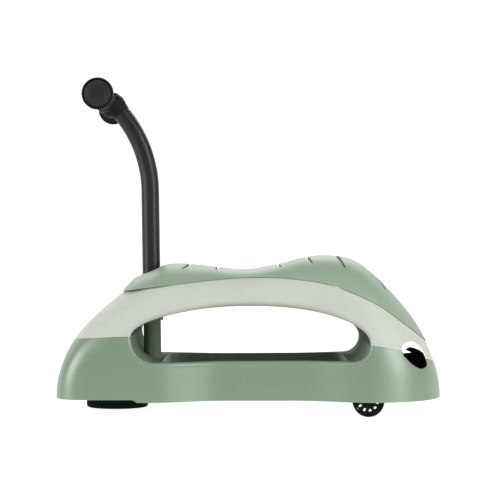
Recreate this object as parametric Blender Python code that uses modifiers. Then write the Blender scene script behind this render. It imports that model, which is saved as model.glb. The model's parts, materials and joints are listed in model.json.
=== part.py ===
"""A ride-on walker: a hollow moulded body with an opening through it from side to side, two front wheels on an
axle, a round swivel base with two caster wheels under the rear, and a push handle that plugs into a column.

Metres. +X is forward, +Y is left, +Z is up. The origin is on the floor, under the middle of the body."""

import math

import bmesh
import bpy
from mathutils import Vector
from mathutils.bvhtree import BVHTree

# Clearances
GAP = 0.0003
RUNNING_GAP = 0.0002

# Body: overall form
BODY_HALF_LENGTH = 0.2883
END_HALF_WIDTH = 0.146
REAR_CORNER_LENGTH = 0.094
REAR_CORNER_POWER = 5.0
NOSE_LENGTH = 0.1235
NOSE_POWER = 2.2
WAIST_CENTRE_X = 0.015
WAIST_DEPTH = 0.037
WAIST_FLAT_HALF = 0.050
WAIST_FADE = 0.115
SKIRT_Z = 0.0217
REAR_SKIRT_Z = 0.0256
SKIRT_STEP_X = 0.1213 - BODY_HALF_LENGTH
SKIRT_STEP_LENGTH = 0.007
SECTION_POWER = 3.6
NOSE_SECTION_POWER = 2.7
NOSE_BLEND_START_X = BODY_HALF_LENGTH - 0.1583
WALL = 0.003
RIM_RADIUS = 0.005
ARCH_RIM_RADIUS = 0.0090
RIM_PROUD = 0.0003

# Body: side view of the crown, of the seat's rear lip and of the two parting lines, as (x, z).
# The crown's last place is the length that they were drawn at. They stretch with the body's half length.
CREST = (
    (-0.2883, 0.030),
    (-0.2870, 0.048),
    (-0.2830, 0.066),
    (-0.2710, 0.097),
    (-0.2547, 0.122),
    (-0.2302, 0.148),
    (-0.1935, 0.1790),
    (-0.1660, 0.1985),
    (-0.1380, 0.2130),
    (-0.1120, 0.2220),
    (-0.0540, 0.2172),
    (-0.0129, 0.2130),
    (0.0452, 0.2216),
    (0.0758, 0.2299),
    (0.1095, 0.2347),
    (0.1370, 0.2330),
    (0.1600, 0.2250),
    (0.1829, 0.2080),
    (0.2135, 0.1781),
    (0.2441, 0.1414),
    (0.2640, 0.1085),
    (0.2747, 0.0832),
    (0.2824, 0.0618),
    (0.2870, 0.0358),
    (0.2883, 0.0243),
)
SEAT_REAR_CREST = (
    (-0.1935, 0.1797),
    (-0.1900, 0.1838),
    (-0.1863, 0.1887),
    (-0.1794, 0.1955),
    (-0.1725, 0.2016),
    (-0.1657, 0.2046),
    (-0.1480, 0.2111),
    (-0.1322, 0.2188),
    (-0.1244, 0.2210),
    (-0.1126, 0.2219),
)
SEAT_LINE = (
    (-0.4000, 0.1535),
    (-0.2500, 0.1740),
    (-0.1933, 0.1811),
    (-0.1515, 0.1865),
    (-0.0998, 0.1930),
    (-0.0440, 0.1990),
    (-0.0020, 0.2016),
    (0.0318, 0.2014),
    (0.0788, 0.1978),
    (0.1157, 0.1914),
    (0.1520, 0.1783),
    (0.1893, 0.1600),
    (0.2242, 0.1353),
    (0.2565, 0.1118),
    (0.3000, 0.0802),
    (0.4000, 0.0075),
)
BAND_LINE = (
    (-0.4000, 0.1010),
    (-0.3000, 0.1087),
    (-0.2572, 0.1122),
    (-0.2284, 0.1145),
    (-0.1740, 0.1170),
    (0.0000, 0.1105),
    (0.1740, 0.1042),
    (0.1948, 0.1012),
    (0.2172, 0.0960),
    (0.2620, 0.0812),
    (0.3000, 0.0672),
    (0.4000, 0.0300),
)
SEAT_PROUD = 0.0008
SEAT_WALL = 0.0040
LEDGE_WIDTH = 0.010
LEDGE_THICKNESS = 0.0030

# Opening through the body
OPENING_HALF_LENGTH = BODY_HALF_LENGTH - 0.1143
SILL_Z = 0.080
SILL_RISE = 0.0014
ROOF_Z = 0.160
REAR_SPRING_Z = 0.117
FRONT_SPRING_Z = 0.105
REAR_CORNER_RUN = 0.035
FRONT_CORNER_RUN = 0.026
REAR_ROOF_POWER = 2.0
FRONT_ROOF_POWER = 2.15
LINING_SETBACK = 0.0005
LINER_END_INSET = ARCH_RIM_RADIUS + 0.0020
WELL_REAR_X = 0.0440 - OPENING_HALF_LENGTH
WELL_FRONT_X = OPENING_HALF_LENGTH - 0.0300
WELL_FLOOR_Z = 0.048
WELL_POWER = 7.0
SLIT_WIDTH = 0.0024
SLIT_BOTTOM_Z = 0.089

# Seat grooves: place on the centre line, half length, how far the ends sweep along X, and width
GROOVES = (
    (-0.0919, 0.076, -0.0099, 0.0054),
    (-0.0486, 0.055, -0.0038, 0.0050),
    (-0.0044, 0.026, 0.0000, 0.0044),
    (0.0413, 0.056, 0.0038, 0.0050),
    (0.0856, 0.070, 0.0067, 0.0052),
    (0.1300, 0.094, 0.0102, 0.0054),
    (0.1878, 0.083, 0.0113, 0.0054),
    (0.2370, 0.054, -0.0120, 0.0046),
    (0.2458, 0.034, 0.0000, 0.0036),
)
GROOVE_DEPTH = 0.0028
GROOVE_SWEEP_POWER = 3.6
GROOVE_END_POWER = 8

# Eye on each side, as seen from the side: places about the eye's centre
EYE_CENTRE = (BODY_HALF_LENGTH - 0.0473, 0.0850)
EYE_WHITE = (
    (-0.0176, 0.0078),
    (-0.0202, 0.0100),
    (-0.0209, 0.0136),
    (-0.0197, 0.0176),
    (-0.0162, 0.0211),
    (-0.0096, 0.0234),
    (-0.0023, 0.0228),
    (0.0048, 0.0183),
    (0.0112, 0.0116),
    (0.0158, 0.0047),
    (0.0186, -0.0022),
    (0.0100, -0.0040),
    (-0.0060, 0.0000),
)
EYE_DROP = (
    (-0.0158, 0.0123),
    (-0.0124, 0.0147),
    (-0.0087, 0.0160),
    (-0.0050, 0.0154),
    (0.0000, 0.0140),
    (0.0050, 0.0119),
    (0.0095, 0.0094),
    (0.0130, 0.0065),
    (0.0158, 0.0023),
    (0.0180, -0.0047),
    (0.0191, -0.0095),
    (0.0186, -0.0127),
    (0.0162, -0.0149),
    (0.0119, -0.0161),
    (0.0068, -0.0155),
    (0.0003, -0.0124),
    (-0.0087, -0.0053),
    (-0.0152, 0.0017),
    (-0.0178, 0.0045),
    (-0.0180, 0.0074),
    (-0.0138, 0.0080),
    (-0.0059, 0.0080),
    (-0.0101, 0.0101),
)
EYE_THICKNESS = 0.0004

# Handle: column, bent tube and crossbar
HANDLE_LEAN = math.radians(0.85)
COLUMN_FOOT = (0.0249 - OPENING_HALF_LENGTH, 0.0500)
COLUMN_RADIUS = 0.01325
COLUMN_BORE_RADIUS = 0.0108
COLUMN_LENGTH = 0.1525
COLLAR_RADIUS = 0.0170
COLLAR_START = 0.0862
COLLAR_LENGTH = 0.0175
SOCKET_WALL = 0.0035
SOCKET_BOTTOM = -0.0120
SOCKET_TOP = 0.0400
TUBE_RADIUS = 0.0136
TUBE_WALL = 0.0015
SPIGOT_RADIUS = 0.0105
SPIGOT_LENGTH = COLUMN_LENGTH - 0.0125
SHOULDER_LENGTH = 0.002
PLUG_LENGTH = 0.012
PLUG_HEAD = 0.0025
BEND_START = 0.2835
BEND_RADIUS = 0.190
BEND_ANGLE = math.radians(43.0)
BAR_OFFSET = (-0.0151, 0.0069)
BAR_TUBE_RADIUS = 0.0110
BAR_TUBE_HALF_LENGTH = 0.138
HUB_RADIUS = 0.0205
HUB_HALF_LENGTH = 0.030
HUB_END_RADIUS = 0.0180
NECK_RADIUS = 0.0158
NECK_LENGTH = 0.030
NECK_FLARE_RADIUS = 0.0190
NECK_LIP_RADIUS = 0.0147
GRIP_RADIUS = 0.0170
GRIP_RING_HEIGHT = 0.0009
GRIP_RING_COUNT = 4
GRIP_END_Y = 0.1440
GRIP_FLANGE_RADIUS = 0.0232
GRIP_FLANGE_LENGTH = 0.0070
CAP_RADIUS = 0.0200
CAP_DOME = 0.0035
CAP_SPIGOT_RADIUS = 0.0090
CAP_SPIGOT_LENGTH = 0.014

# Front wheels
AXLE_X = BODY_HALF_LENGTH - 0.1167
WHEEL_RADIUS = 0.02285
AXLE_RADIUS = 0.0040
WHEEL_CENTRE_Y = END_HALF_WIDTH - 0.0210
WHEEL_WIDTH = 0.020
TYRE_THICKNESS = 0.0036
WEB_THICKNESS = 0.0070
WHEEL_HUB_RADIUS = 0.0085
WHEEL_BOSS_LENGTH = 0.0105
SLOT_COUNT = 10
SLOT_INNER_RADIUS = 0.0103
SLOT_OUTER_RADIUS = 0.0173
SLOT_WIDTH = 0.0046
FIRST_SLOT_ANGLE = math.radians(27.4)
AXLE_CAP_RADIUS = 0.0070
BRACKET_THICKNESS = 0.0040
BRACKET_HALF_WIDTH = 0.0115
FRONT_DECK_Z = 0.055
DECK_THICKNESS = 0.004

# Swivel base and caster wheels
SWIVEL_X = 0.0850 - BODY_HALF_LENGTH
TURNTABLE_RADIUS = 0.0468
TURNTABLE_BOTTOM_Z = 0.0036
TURNTABLE_TOP_Z = 0.0368
TURNTABLE_EDGE = 0.0040
TURNTABLE_WALL = 0.0032
TURNTABLE_FLOOR = 0.0040
SWIVEL_HUB_RADIUS = 0.0120
THRUST_RING_WIDTH = 0.0065
THRUST_RING_THICKNESS = 0.0027
KINGPIN_RADIUS = 0.0040
KINGPIN_HEAD_RADIUS = 0.0070
KINGPIN_HEAD_HEIGHT = 0.0045
KINGPIN_HEAD_Z = 0.0085
WASHER_RADIUS = 0.0100
WASHER_THICKNESS = 0.0016
NUT_RADIUS = 0.0075
NUT_HEIGHT = 0.0065
CASTER_RADIUS = 0.0140
CASTER_WIDTH = 0.0095
CASTER_TRAIL = 0.026
CASTER_WEB = 0.0044
CASTER_AXLE_RADIUS = 0.0025
POCKET_CLEARANCE = 0.0011

# Screws
SCREW_HEAD_RADIUS = 0.0038
SCREW_HEAD_HEIGHT = 0.0024
SCREW_SHANK_RADIUS = 0.0018
SCREW_LENGTH = 0.016
SCREW_TIP_ROOM = 0.0012
BOSS_RADIUS = 0.0060
SEAT_SCREW_X = OPENING_HALF_LENGTH - 0.0990
SEAT_SCREW_Y = 0.040
BODY_SCREW_INSET = 0.0080
BODY_SCREW_FRONT_X = BODY_HALF_LENGTH - 0.0733
BODY_SCREW_REAR_X = 0.0833 - BODY_HALF_LENGTH

# Facets
RING_STEPS = 18
LINE_STEPS = 18
ROOF_STEPS = 11
CORNER_STEPS = 5
SILL_STEPS = 8
RIM_RESOLUTION = 3
TURN_STEPS = 20
FINE_TURN_STEPS = 28
SMALL_TURN_STEPS = 10
TUBE_RESOLUTION = 4
NECK_PATH_STEPS = 16
EYE_STEPS = 1
FAR = 0.400

PARTS = "ride_on_walker"
CUTTERS = "cutters"


# Scene, materials and collections


def clear_scene():
    for obj in list(bpy.data.objects):
        bpy.data.objects.remove(obj, do_unlink=True)


def make_collection(name):
    collection = bpy.data.collections.new(name)
    bpy.context.scene.collection.children.link(collection)
    return collection


def make_material(name, colour, roughness, metallic=0.0):
    material = bpy.data.materials.new(name)
    material.use_nodes = True
    shader = material.node_tree.nodes["Principled BSDF"]
    shader.inputs["Base Color"].default_value = (*colour, 1.0)
    shader.inputs["Roughness"].default_value = roughness
    shader.inputs["Metallic"].default_value = metallic
    return material


def new_object(name, mesh):
    obj = bpy.data.objects.new(name, mesh)
    bpy.data.collections[CUTTERS].objects.link(obj)
    obj.hide_render = True
    obj.display_type = "WIRE"
    return obj


def part(obj, material, name=None):
    """Makes a finished shape one of the object's pieces."""
    if name:
        obj.name = name
    bpy.data.collections[CUTTERS].objects.unlink(obj)
    bpy.data.collections[PARTS].objects.link(obj)
    obj.hide_render = False
    obj.display_type = "TEXTURED"
    obj.data.materials.clear()
    obj.data.materials.append(material)
    obj.data.shade_smooth()
    obj.data.set_sharp_from_angle(angle=math.radians(35))
    return obj


# Shape tools


def apply_modifiers(obj):
    graph = bpy.context.evaluated_depsgraph_get()
    mesh = bpy.data.meshes.new_from_object(obj.evaluated_get(graph))
    obj.modifiers.clear()
    obj.data = mesh
    return obj


def boolean(target, cutter, operation):
    modifier = target.modifiers.new(operation.title(), "BOOLEAN")
    modifier.operation = operation
    modifier.object = cutter
    return weld(apply_modifiers(target))


def weld(obj):
    """Takes out the slivers that a cut leaves where two surfaces cross at a shallow angle."""
    sliver = 0.000003
    bm = bmesh.new()
    bm.from_mesh(obj.data)
    bmesh.ops.remove_doubles(bm, verts=bm.verts, dist=sliver)
    bmesh.ops.dissolve_degenerate(bm, edges=bm.edges, dist=sliver)
    bm.to_mesh(obj.data)
    bm.free()
    return obj


def cut(target, *cutters):
    for cutter in cutters:
        boolean(target, cutter, "DIFFERENCE")
    return target


def join(target, *others):
    for other in others:
        boolean(target, other, "UNION")
    return target


def keep_inside(target, *others):
    for other in others:
        boolean(target, other, "INTERSECT")
    return target


def copy_of(obj, name):
    return new_object(name, obj.data.copy())


def mesh_from(name, bm):
    bmesh.ops.recalc_face_normals(bm, faces=bm.faces)
    mesh = bpy.data.meshes.new(name)
    bm.to_mesh(mesh)
    bm.free()
    return new_object(name, mesh)


def box(name, low, high):
    bm = bmesh.new()
    bmesh.ops.create_cube(bm, size=1.0)
    for vertex in bm.verts:
        for axis in range(3):
            vertex.co[axis] = high[axis] if vertex.co[axis] > 0 else low[axis]
    return mesh_from(name, bm)


def turned(name, profile, steps=TURN_STEPS, ring=False):
    """A profile of (radius, height) points that runs down its outer side, turned about Z. A ring closes."""
    bm = bmesh.new()
    points = [bm.verts.new((radius, 0.0, height)) for radius, height in profile]
    for first, second in zip(points, points[1:]):
        bm.edges.new((first, second))
    if ring:
        bm.edges.new((points[-1], points[0]))
    mesh = bpy.data.meshes.new(name)
    bm.to_mesh(mesh)
    bm.free()
    obj = new_object(name, mesh)
    screw = obj.modifiers.new("Turn", "SCREW")
    screw.steps = steps
    screw.render_steps = steps
    screw.use_merge_vertices = True
    screw.merge_threshold = 0.00001
    apply_modifiers(obj)
    bm = bmesh.new()
    bm.from_mesh(obj.data)
    bmesh.ops.recalc_face_normals(bm, faces=bm.faces)
    bm.to_mesh(obj.data)
    bm.free()
    return obj


def cylinder(name, radius, bottom, top, steps=TURN_STEPS):
    return turned(name, ((0.0, top), (radius, top), (radius, bottom), (0.0, bottom)), steps)


def bake_place(obj):
    """Moves the object's place into its mesh, so that it can be cut and copied in world coordinates."""
    bpy.context.view_layer.update()
    obj.data.transform(obj.matrix_world)
    obj.location = (0.0, 0.0, 0.0)
    obj.rotation_euler = (0.0, 0.0, 0.0)
    return obj


def along_y(obj, location, outward=1):
    """Turns the object's +Z to +Y, or to -Y, and places it."""
    obj.rotation_euler = (-outward * math.pi / 2, 0.0, 0.0)
    obj.location = location
    return bake_place(obj)


def along_x(obj, location):
    obj.rotation_euler = (0.0, math.pi / 2, 0.0)
    obj.location = location
    return bake_place(obj)


def curve_to_mesh(curve):
    graph = bpy.context.evaluated_depsgraph_get()
    mesh = bpy.data.meshes.new_from_object(curve.evaluated_get(graph))
    matrix = curve.matrix_world.copy()
    name = curve.name
    bpy.data.objects.remove(curve)
    bm = bmesh.new()
    bm.from_mesh(mesh)
    bmesh.ops.remove_doubles(bm, verts=bm.verts, dist=0.00001)
    obj = mesh_from(name, bm)
    obj.matrix_world = matrix
    return obj


def add_spline(data, points, cyclic, radii=None):
    spline = data.splines.new("POLY")
    spline.points.add(len(points) - 1)
    for index, (spot, point) in enumerate(zip(spline.points, points)):
        spot.co = (*point, 1.0)
        spot.radius = radii[index] if radii else 1.0
    spline.use_cyclic_u = cyclic


def new_curve(name, points, dimensions, cyclic, radii=None):
    data = bpy.data.curves.new(name, "CURVE")
    data.dimensions = dimensions
    add_spline(data, points, cyclic, radii)
    return data


def outline_solid(name, outline, half_thickness, hole=None):
    """A flat closed outline in the XY plane, given thickness along Z, with a hole if it has one."""
    data = new_curve(name, [(x, y, 0.0) for x, y in outline], "2D", True)
    if hole:
        add_spline(data, [(x, y, 0.0) for x, y in hole], True)
    data.fill_mode = "BOTH"
    data.extrude = half_thickness
    return curve_to_mesh(new_object(name, data))


def side_prism(name, outline, half_width=FAR, hole=None):
    """An outline of (x, z) points, run across the body along Y."""
    obj = outline_solid(name, outline, half_width, hole)
    obj.rotation_euler = (math.pi / 2, 0.0, 0.0)
    return bake_place(obj)


def polygon(radius, corners):
    angles = [2 * math.pi * i / corners for i in range(corners)]
    return [(radius * math.cos(angle), radius * math.sin(angle)) for angle in angles]


def plan_prism(name, outline, bottom, top, hole=None):
    """An outline of (x, y) points, run upwards along Z."""
    obj = outline_solid(name, outline, (top - bottom) / 2, hole)
    obj.location = (0.0, 0.0, (top + bottom) / 2)
    return bake_place(obj)


def swept(name, path, radius, resolution, radii=None, cyclic=False):
    """A round tube along a path, with its thickness at each point as a share of the radius."""
    data = new_curve(name, path, "3D", cyclic, radii)
    data.bevel_depth = radius
    data.bevel_resolution = resolution
    data.use_fill_caps = not cyclic
    return curve_to_mesh(new_object(name, data))


def smooth_value(points, x):
    """A smooth curve through the points, read at x, with no overshoot between them."""
    if x <= points[0][0]:
        return points[0][1]
    if x >= points[-1][0]:
        return points[-1][1]
    index = max(i for i, point in enumerate(points) if point[0] <= x)
    slopes = [(b[1] - a[1]) / (b[0] - a[0]) for a, b in zip(points, points[1:])]

    def tangent(i):
        if i == 0:
            return slopes[0]
        if i == len(points) - 1:
            return slopes[-1]
        before, after = slopes[i - 1], slopes[i]
        if before * after <= 0:
            return 0.0
        return 2 * before * after / (before + after)

    (x0, y0), (x1, y1) = points[index], points[index + 1]
    run = x1 - x0
    t = (x - x0) / run
    start = y0 * (1 + 2 * t) + tangent(index) * run * t
    end = y1 * (3 - 2 * t) - tangent(index + 1) * run * (1 - t)
    return start * (1 - t) ** 2 + end * t**2


# Body surface


def smooth_step(t):
    t = min(max(t, 0.0), 1.0)
    return t * t * (3 - 2 * t)


def half_width(x):
    """Half the body's width at the skirt."""
    x = min(max(x, -BODY_HALF_LENGTH), BODY_HALF_LENGTH)
    waist = 1 - smooth_step((abs(x - WAIST_CENTRE_X) - WAIST_FLAT_HALF) / WAIST_FADE)
    width = END_HALF_WIDTH - WAIST_DEPTH * waist
    rear = (REAR_CORNER_LENGTH - BODY_HALF_LENGTH - x) / REAR_CORNER_LENGTH
    nose = (x - BODY_HALF_LENGTH + NOSE_LENGTH) / NOSE_LENGTH
    if rear > 0:
        width *= max(1 - rear**REAR_CORNER_POWER, 0.0) ** (1 / REAR_CORNER_POWER)
    if nose > 0:
        width *= max(1 - nose**NOSE_POWER, 0.0) ** (1 / NOSE_POWER)
    return width


def drawn_length():
    return CREST[-1][0]


def drawn_place(x):
    """Where a place along the body is in the side view's drawn curves."""
    return x * drawn_length() / BODY_HALF_LENGTH


def body_crest(x):
    return smooth_value(CREST, drawn_place(x))


def seat_crest(x):
    drawn_x = drawn_place(x)
    if SEAT_REAR_CREST[0][0] < drawn_x < SEAT_REAR_CREST[-1][0]:
        return max(smooth_value(SEAT_REAR_CREST, drawn_x), body_crest(x))
    return body_crest(x)


def line_z(line, x):
    """Height of a parting line at a place along the body."""
    return smooth_value(line, drawn_place(x))


def section_power(x):
    run = BODY_HALF_LENGTH - NOSE_BLEND_START_X
    return SECTION_POWER + (NOSE_SECTION_POWER - SECTION_POWER) * smooth_step((x - NOSE_BLEND_START_X) / run)


def flank_y(x, z):
    """How far out the body's side is, at a place in the side view."""
    power = section_power(x)
    share = min(max((z - SKIRT_Z) / (body_crest(x) - SKIRT_Z), 0.0), 1.0)
    return half_width(x) * (1 - share**power) ** (1 / power)


def stations():
    """Places along X for the body's sections, closer together towards its ends."""
    rear_steps = 7
    nose_steps = 8
    middle_steps = 14
    rear_join = REAR_CORNER_LENGTH - BODY_HALF_LENGTH
    nose_join = BODY_HALF_LENGTH - NOSE_LENGTH
    places = [-BODY_HALF_LENGTH + REAR_CORNER_LENGTH * (i / rear_steps) ** 2 for i in range(rear_steps)]
    places += [rear_join + (nose_join - rear_join) * i / middle_steps for i in range(middle_steps)]
    places += [nose_join + NOSE_LENGTH * (1 - (1 - i / nose_steps) ** 1.7) for i in range(nose_steps + 1)]
    return places


def body_form(name, crest, offset=0.0, floor=SKIRT_Z, inset=0.0):
    """The body as a solid loft of arched sections.

    An offset moves its surface square to itself. An inset brings each section in, and suits deep steps."""
    tip_inset = 0.0002
    least = 0.0005
    shrink = 1 - inset / BODY_HALF_LENGTH
    bm = bmesh.new()
    rings = []
    for x in stations():
        inner_x = min(max(x, tip_inset - BODY_HALF_LENGTH), BODY_HALF_LENGTH - tip_inset)
        width = max(half_width(inner_x) - inset, least)
        height = max(crest(x) - SKIRT_Z - inset, least)
        share = 2 / section_power(x)
        ring = []
        for step in range(RING_STEPS + 1):
            angle = math.pi * step / RING_STEPS
            across = math.copysign(abs(math.cos(angle)) ** share, math.cos(angle))
            up = 0.0 if step in (0, RING_STEPS) else math.sin(angle) ** share
            ring.append(bm.verts.new((x * shrink, width * across, SKIRT_Z + height * up)))
        rings.append(ring)
    for behind, ahead in zip(rings, rings[1:]):
        for step in range(RING_STEPS):
            bm.faces.new((behind[step], ahead[step], ahead[step + 1], behind[step + 1]))
    bm.faces.new(rings[0])
    bm.faces.new(rings[-1])
    bmesh.ops.recalc_face_normals(bm, faces=bm.faces)
    bm.normal_update()
    if bm.faces[0].normal.y * rings[0][0].co.y < 0:
        bmesh.ops.reverse_faces(bm, faces=bm.faces)
        bm.normal_update()
    shifts = [(vertex, vertex.normal * offset) for vertex in bm.verts]
    for vertex, shift in shifts:
        vertex.co += shift
    for ring in rings:
        ring[0].co.z = floor
        ring[-1].co.z = floor
    for behind, ahead in zip(rings, rings[1:]):
        bm.faces.new((behind[0], behind[-1], ahead[-1], ahead[0]))
    return mesh_from(name, bm)


def line_points(line, shift=0.0):
    """A parting line as points, moved up or down by a shift."""
    start, end = line[1][0], line[-2][0]
    places = [start + (end - start) * i / LINE_STEPS for i in range(LINE_STEPS + 1)]
    stretch = BODY_HALF_LENGTH / drawn_length()
    return [(x * stretch, smooth_value(line, x) + shift) for x in [line[0][0], *places, line[-1][0]]]


def region_below(name, line, shift=0.0):
    points = line_points(line, shift)
    return side_prism(name, points + [(points[-1][0], -FAR), (points[0][0], -FAR)])


def region_above(name, line, shift=0.0):
    points = line_points(line, shift)
    return side_prism(name, points + [(points[-1][0], FAR), (points[0][0], FAR)])


def opening_points(grow):
    """The opening in the side view, as (x, z, share of the arch): rounded quarters and a nearly level sill.

    It is grown outwards by a distance of its own at each point: grow is a function of the share of the arch."""
    points = []

    def quarter(centre_x, centre_z, run, rise, start, steps, power=2.0, arch=0.0):
        for i in range(steps):
            angle = math.radians(start) + math.pi / 2 * i / steps
            cosine = round(math.cos(angle), 9)
            sine = round(math.sin(angle), 9)
            share = arch * abs(sine)
            across = math.copysign(abs(cosine) ** (2 / power), cosine)
            up = math.copysign(abs(sine) ** (2 / power), sine)
            x = centre_x + (run + grow(share)) * across
            z = centre_z + (rise + grow(share)) * up
            points.append((x, z, share))

    length = OPENING_HALF_LENGTH
    rear_sill = SILL_Z - SILL_RISE / 2
    front_sill = SILL_Z + SILL_RISE / 2
    quarter(0.0, FRONT_SPRING_Z, length, ROOF_Z - FRONT_SPRING_Z, 0, ROOF_STEPS, FRONT_ROOF_POWER, 1.0)
    quarter(0.0, REAR_SPRING_Z, length, ROOF_Z - REAR_SPRING_Z, 90, ROOF_STEPS, REAR_ROOF_POWER, 1.0)
    rear_x = REAR_CORNER_RUN - length
    quarter(rear_x, REAR_SPRING_Z, REAR_CORNER_RUN, REAR_SPRING_Z - rear_sill, 180, CORNER_STEPS)
    front_x = length - FRONT_CORNER_RUN
    for i in range(SILL_STEPS):
        along = i / SILL_STEPS
        sill = rear_sill + (front_sill - rear_sill) * along
        points.append((rear_x + (front_x - rear_x) * along, sill - grow(0.0), 0.0))
    quarter(front_x, FRONT_SPRING_Z, FRONT_CORNER_RUN, FRONT_SPRING_Z - front_sill, 270, CORNER_STEPS)
    return points


def opening_outline(grow=0.0):
    return [(x, z) for x, z, share in opening_points(lambda share: grow)]


def rim_radius(share):
    """The rim is small along the sill and fuller along the arch."""
    return RIM_RADIUS + (ARCH_RIM_RADIUS - RIM_RADIUS) * smooth_step(share)


def flank_normal(x, z):
    """Which way the left flank faces."""
    step = 0.0005
    slope_x = (flank_y(x + step, z) - flank_y(x - step, z)) / (2 * step)
    slope_z = (flank_y(x, z + step) - flank_y(x, z - step)) / (2 * step)
    return Vector((-slope_x, 1.0, -slope_z)).normalized()


def rim_places():
    """Along the opening's rim: the bead's middle and where it touches the body's wall, in the side view."""
    places = []
    for x, z, share in opening_points(rim_radius):
        radius = rim_radius(share)
        normal = Vector((0.0, 1.0, 0.0))
        for _ in range(6):
            touch_x, touch_z = x + normal.x * radius, z + normal.z * radius
            normal = flank_normal(touch_x, touch_z)
        places.append((touch_x, touch_z, radius, normal))
    return places


def rim(name, skin, side, grow=0.0):
    """The opening's rounded rim on one side: a bead that runs all the way round, in the body's wall."""
    tree = BVHTree.FromObject(skin, bpy.context.evaluated_depsgraph_get())
    flat_share = math.cos(math.pi / (2 * RIM_RESOLUTION + 4))
    path = []
    radii = []
    for x, z, radius, normal in rim_places():
        touch = tree.ray_cast(Vector((x, side * FAR, z)), Vector((0.0, -side, 0.0)))[0]
        inward = Vector((-normal.x, -side * normal.y, -normal.z))
        path.append(touch + inward * (radius * flat_share - RIM_PROUD))
        radii.append((radius + grow) / RIM_RADIUS)
    return swept(name, path, RIM_RADIUS, RIM_RESOLUTION, radii, cyclic=True)


# Body pieces


def side_walls():
    """The wall of the whole body, cut out for the opening and finished with its rounded rims."""
    skin = body_form("skin", body_crest)
    walls = copy_of(skin, "walls")
    cut(walls, body_form("wall_inside", body_crest, -WALL, -FAR / 4))
    cut(walls, side_prism("opening_in_walls", [(x, z) for x, z, radius, normal in rim_places()]))
    join(walls, rim("rim_left", skin, 1), rim("rim_right", skin, -1))
    return skin, walls


def opening_lining():
    """A thin lining all round the opening, from one side to the other."""
    outside = opening_outline(LINING_SETBACK + WALL)
    return side_prism("lining", outside, FAR / 2, opening_outline(LINING_SETBACK))


def handle_place(obj, distance=0.0):
    """Places an object on the handle's leaning axis, a distance up from the column's foot."""
    x, z = handle_point(distance)
    obj.rotation_euler = (0.0, -HANDLE_LEAN, 0.0)
    obj.location = (x, 0.0, z)
    return bake_place(obj)


def handle_point(distance):
    x = COLUMN_FOOT[0] - math.sin(HANDLE_LEAN) * distance
    return x, COLUMN_FOOT[1] + math.cos(HANDLE_LEAN) * distance


def well_outline(grow=0.0):
    """The well in plan: it follows the rails, with rounded ends."""
    steps = 2 * ROOF_STEPS
    middle = (WELL_FRONT_X + WELL_REAR_X) / 2
    half = (WELL_FRONT_X - WELL_REAR_X) / 2
    share = 2 / WELL_POWER
    points = []
    for i in range(2 * steps):
        angle = math.pi * (i + 0.5) / steps
        x = middle + math.copysign(abs(math.cos(angle)) ** share * (half + grow), math.cos(angle))
        rail = flank_y(x, SILL_Z) - 2 * RIM_RADIUS + grow
        points.append((x, math.copysign(abs(math.sin(angle)) ** share * rail, math.sin(angle))))
    return points


def well():
    """The recess between the rails, under the opening's sill."""
    top = SILL_Z - SILL_RISE / 2 - LINING_SETBACK - WALL / 2
    return plan_prism("well", well_outline(WALL), WELL_FLOOR_Z - WALL, top)


def well_space():
    return plan_prism("well_space", well_outline(), WELL_FLOOR_Z, SILL_Z + WALL)


def deck(name, bottom, thickness, low_x, high_x):
    """A level web across the inside of the base."""
    web = body_form(name, body_crest, -WALL / 2, -FAR / 4)
    return keep_inside(web, box(name + "_box", (low_x, -FAR, bottom), (high_x, FAR, bottom + thickness)))


def body_screw_places():
    """(x, y, parting height) of the screws that close the base against the band, square in from its wall."""
    places = []
    for wall_x in (BODY_SCREW_FRONT_X, BODY_SCREW_REAR_X):
        height = line_z(BAND_LINE, wall_x)
        slope = (flank_y(wall_x + WALL, height) - flank_y(wall_x - WALL, height)) / (2 * WALL)
        square = math.hypot(1.0, slope)
        x = wall_x + BODY_SCREW_INSET * slope / square
        y = flank_y(wall_x, height) - BODY_SCREW_INSET / square
        for side in (1, -1):
            places.append((x, side * y, line_z(BAND_LINE, x)))
    return places


def rear_deck_z():
    return TURNTABLE_TOP_Z + THRUST_RING_THICKNESS + 2 * GAP


def bracket(name, y):
    """A plate that hangs from the front deck and carries the axle in a round foot."""
    outline = [(BRACKET_HALF_WIDTH, FRONT_DECK_Z + DECK_THICKNESS / 2 - WHEEL_RADIUS)]
    steps = 10
    for i in range(steps + 1):
        angle = -math.pi * i / steps
        outline.append((BRACKET_HALF_WIDTH * math.cos(angle), BRACKET_HALF_WIDTH * math.sin(angle)))
    outline.append((-BRACKET_HALF_WIDTH, FRONT_DECK_Z + DECK_THICKNESS / 2 - WHEEL_RADIUS))
    plate = side_prism(name, outline, BRACKET_THICKNESS / 2)
    plate.location = (AXLE_X, y, WHEEL_RADIUS)
    return bake_place(plate)


def bracket_y():
    return WHEEL_CENTRE_Y - WHEEL_WIDTH / 2 - WHEEL_BOSS_LENGTH - RUNNING_GAP - BRACKET_THICKNESS / 2


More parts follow.
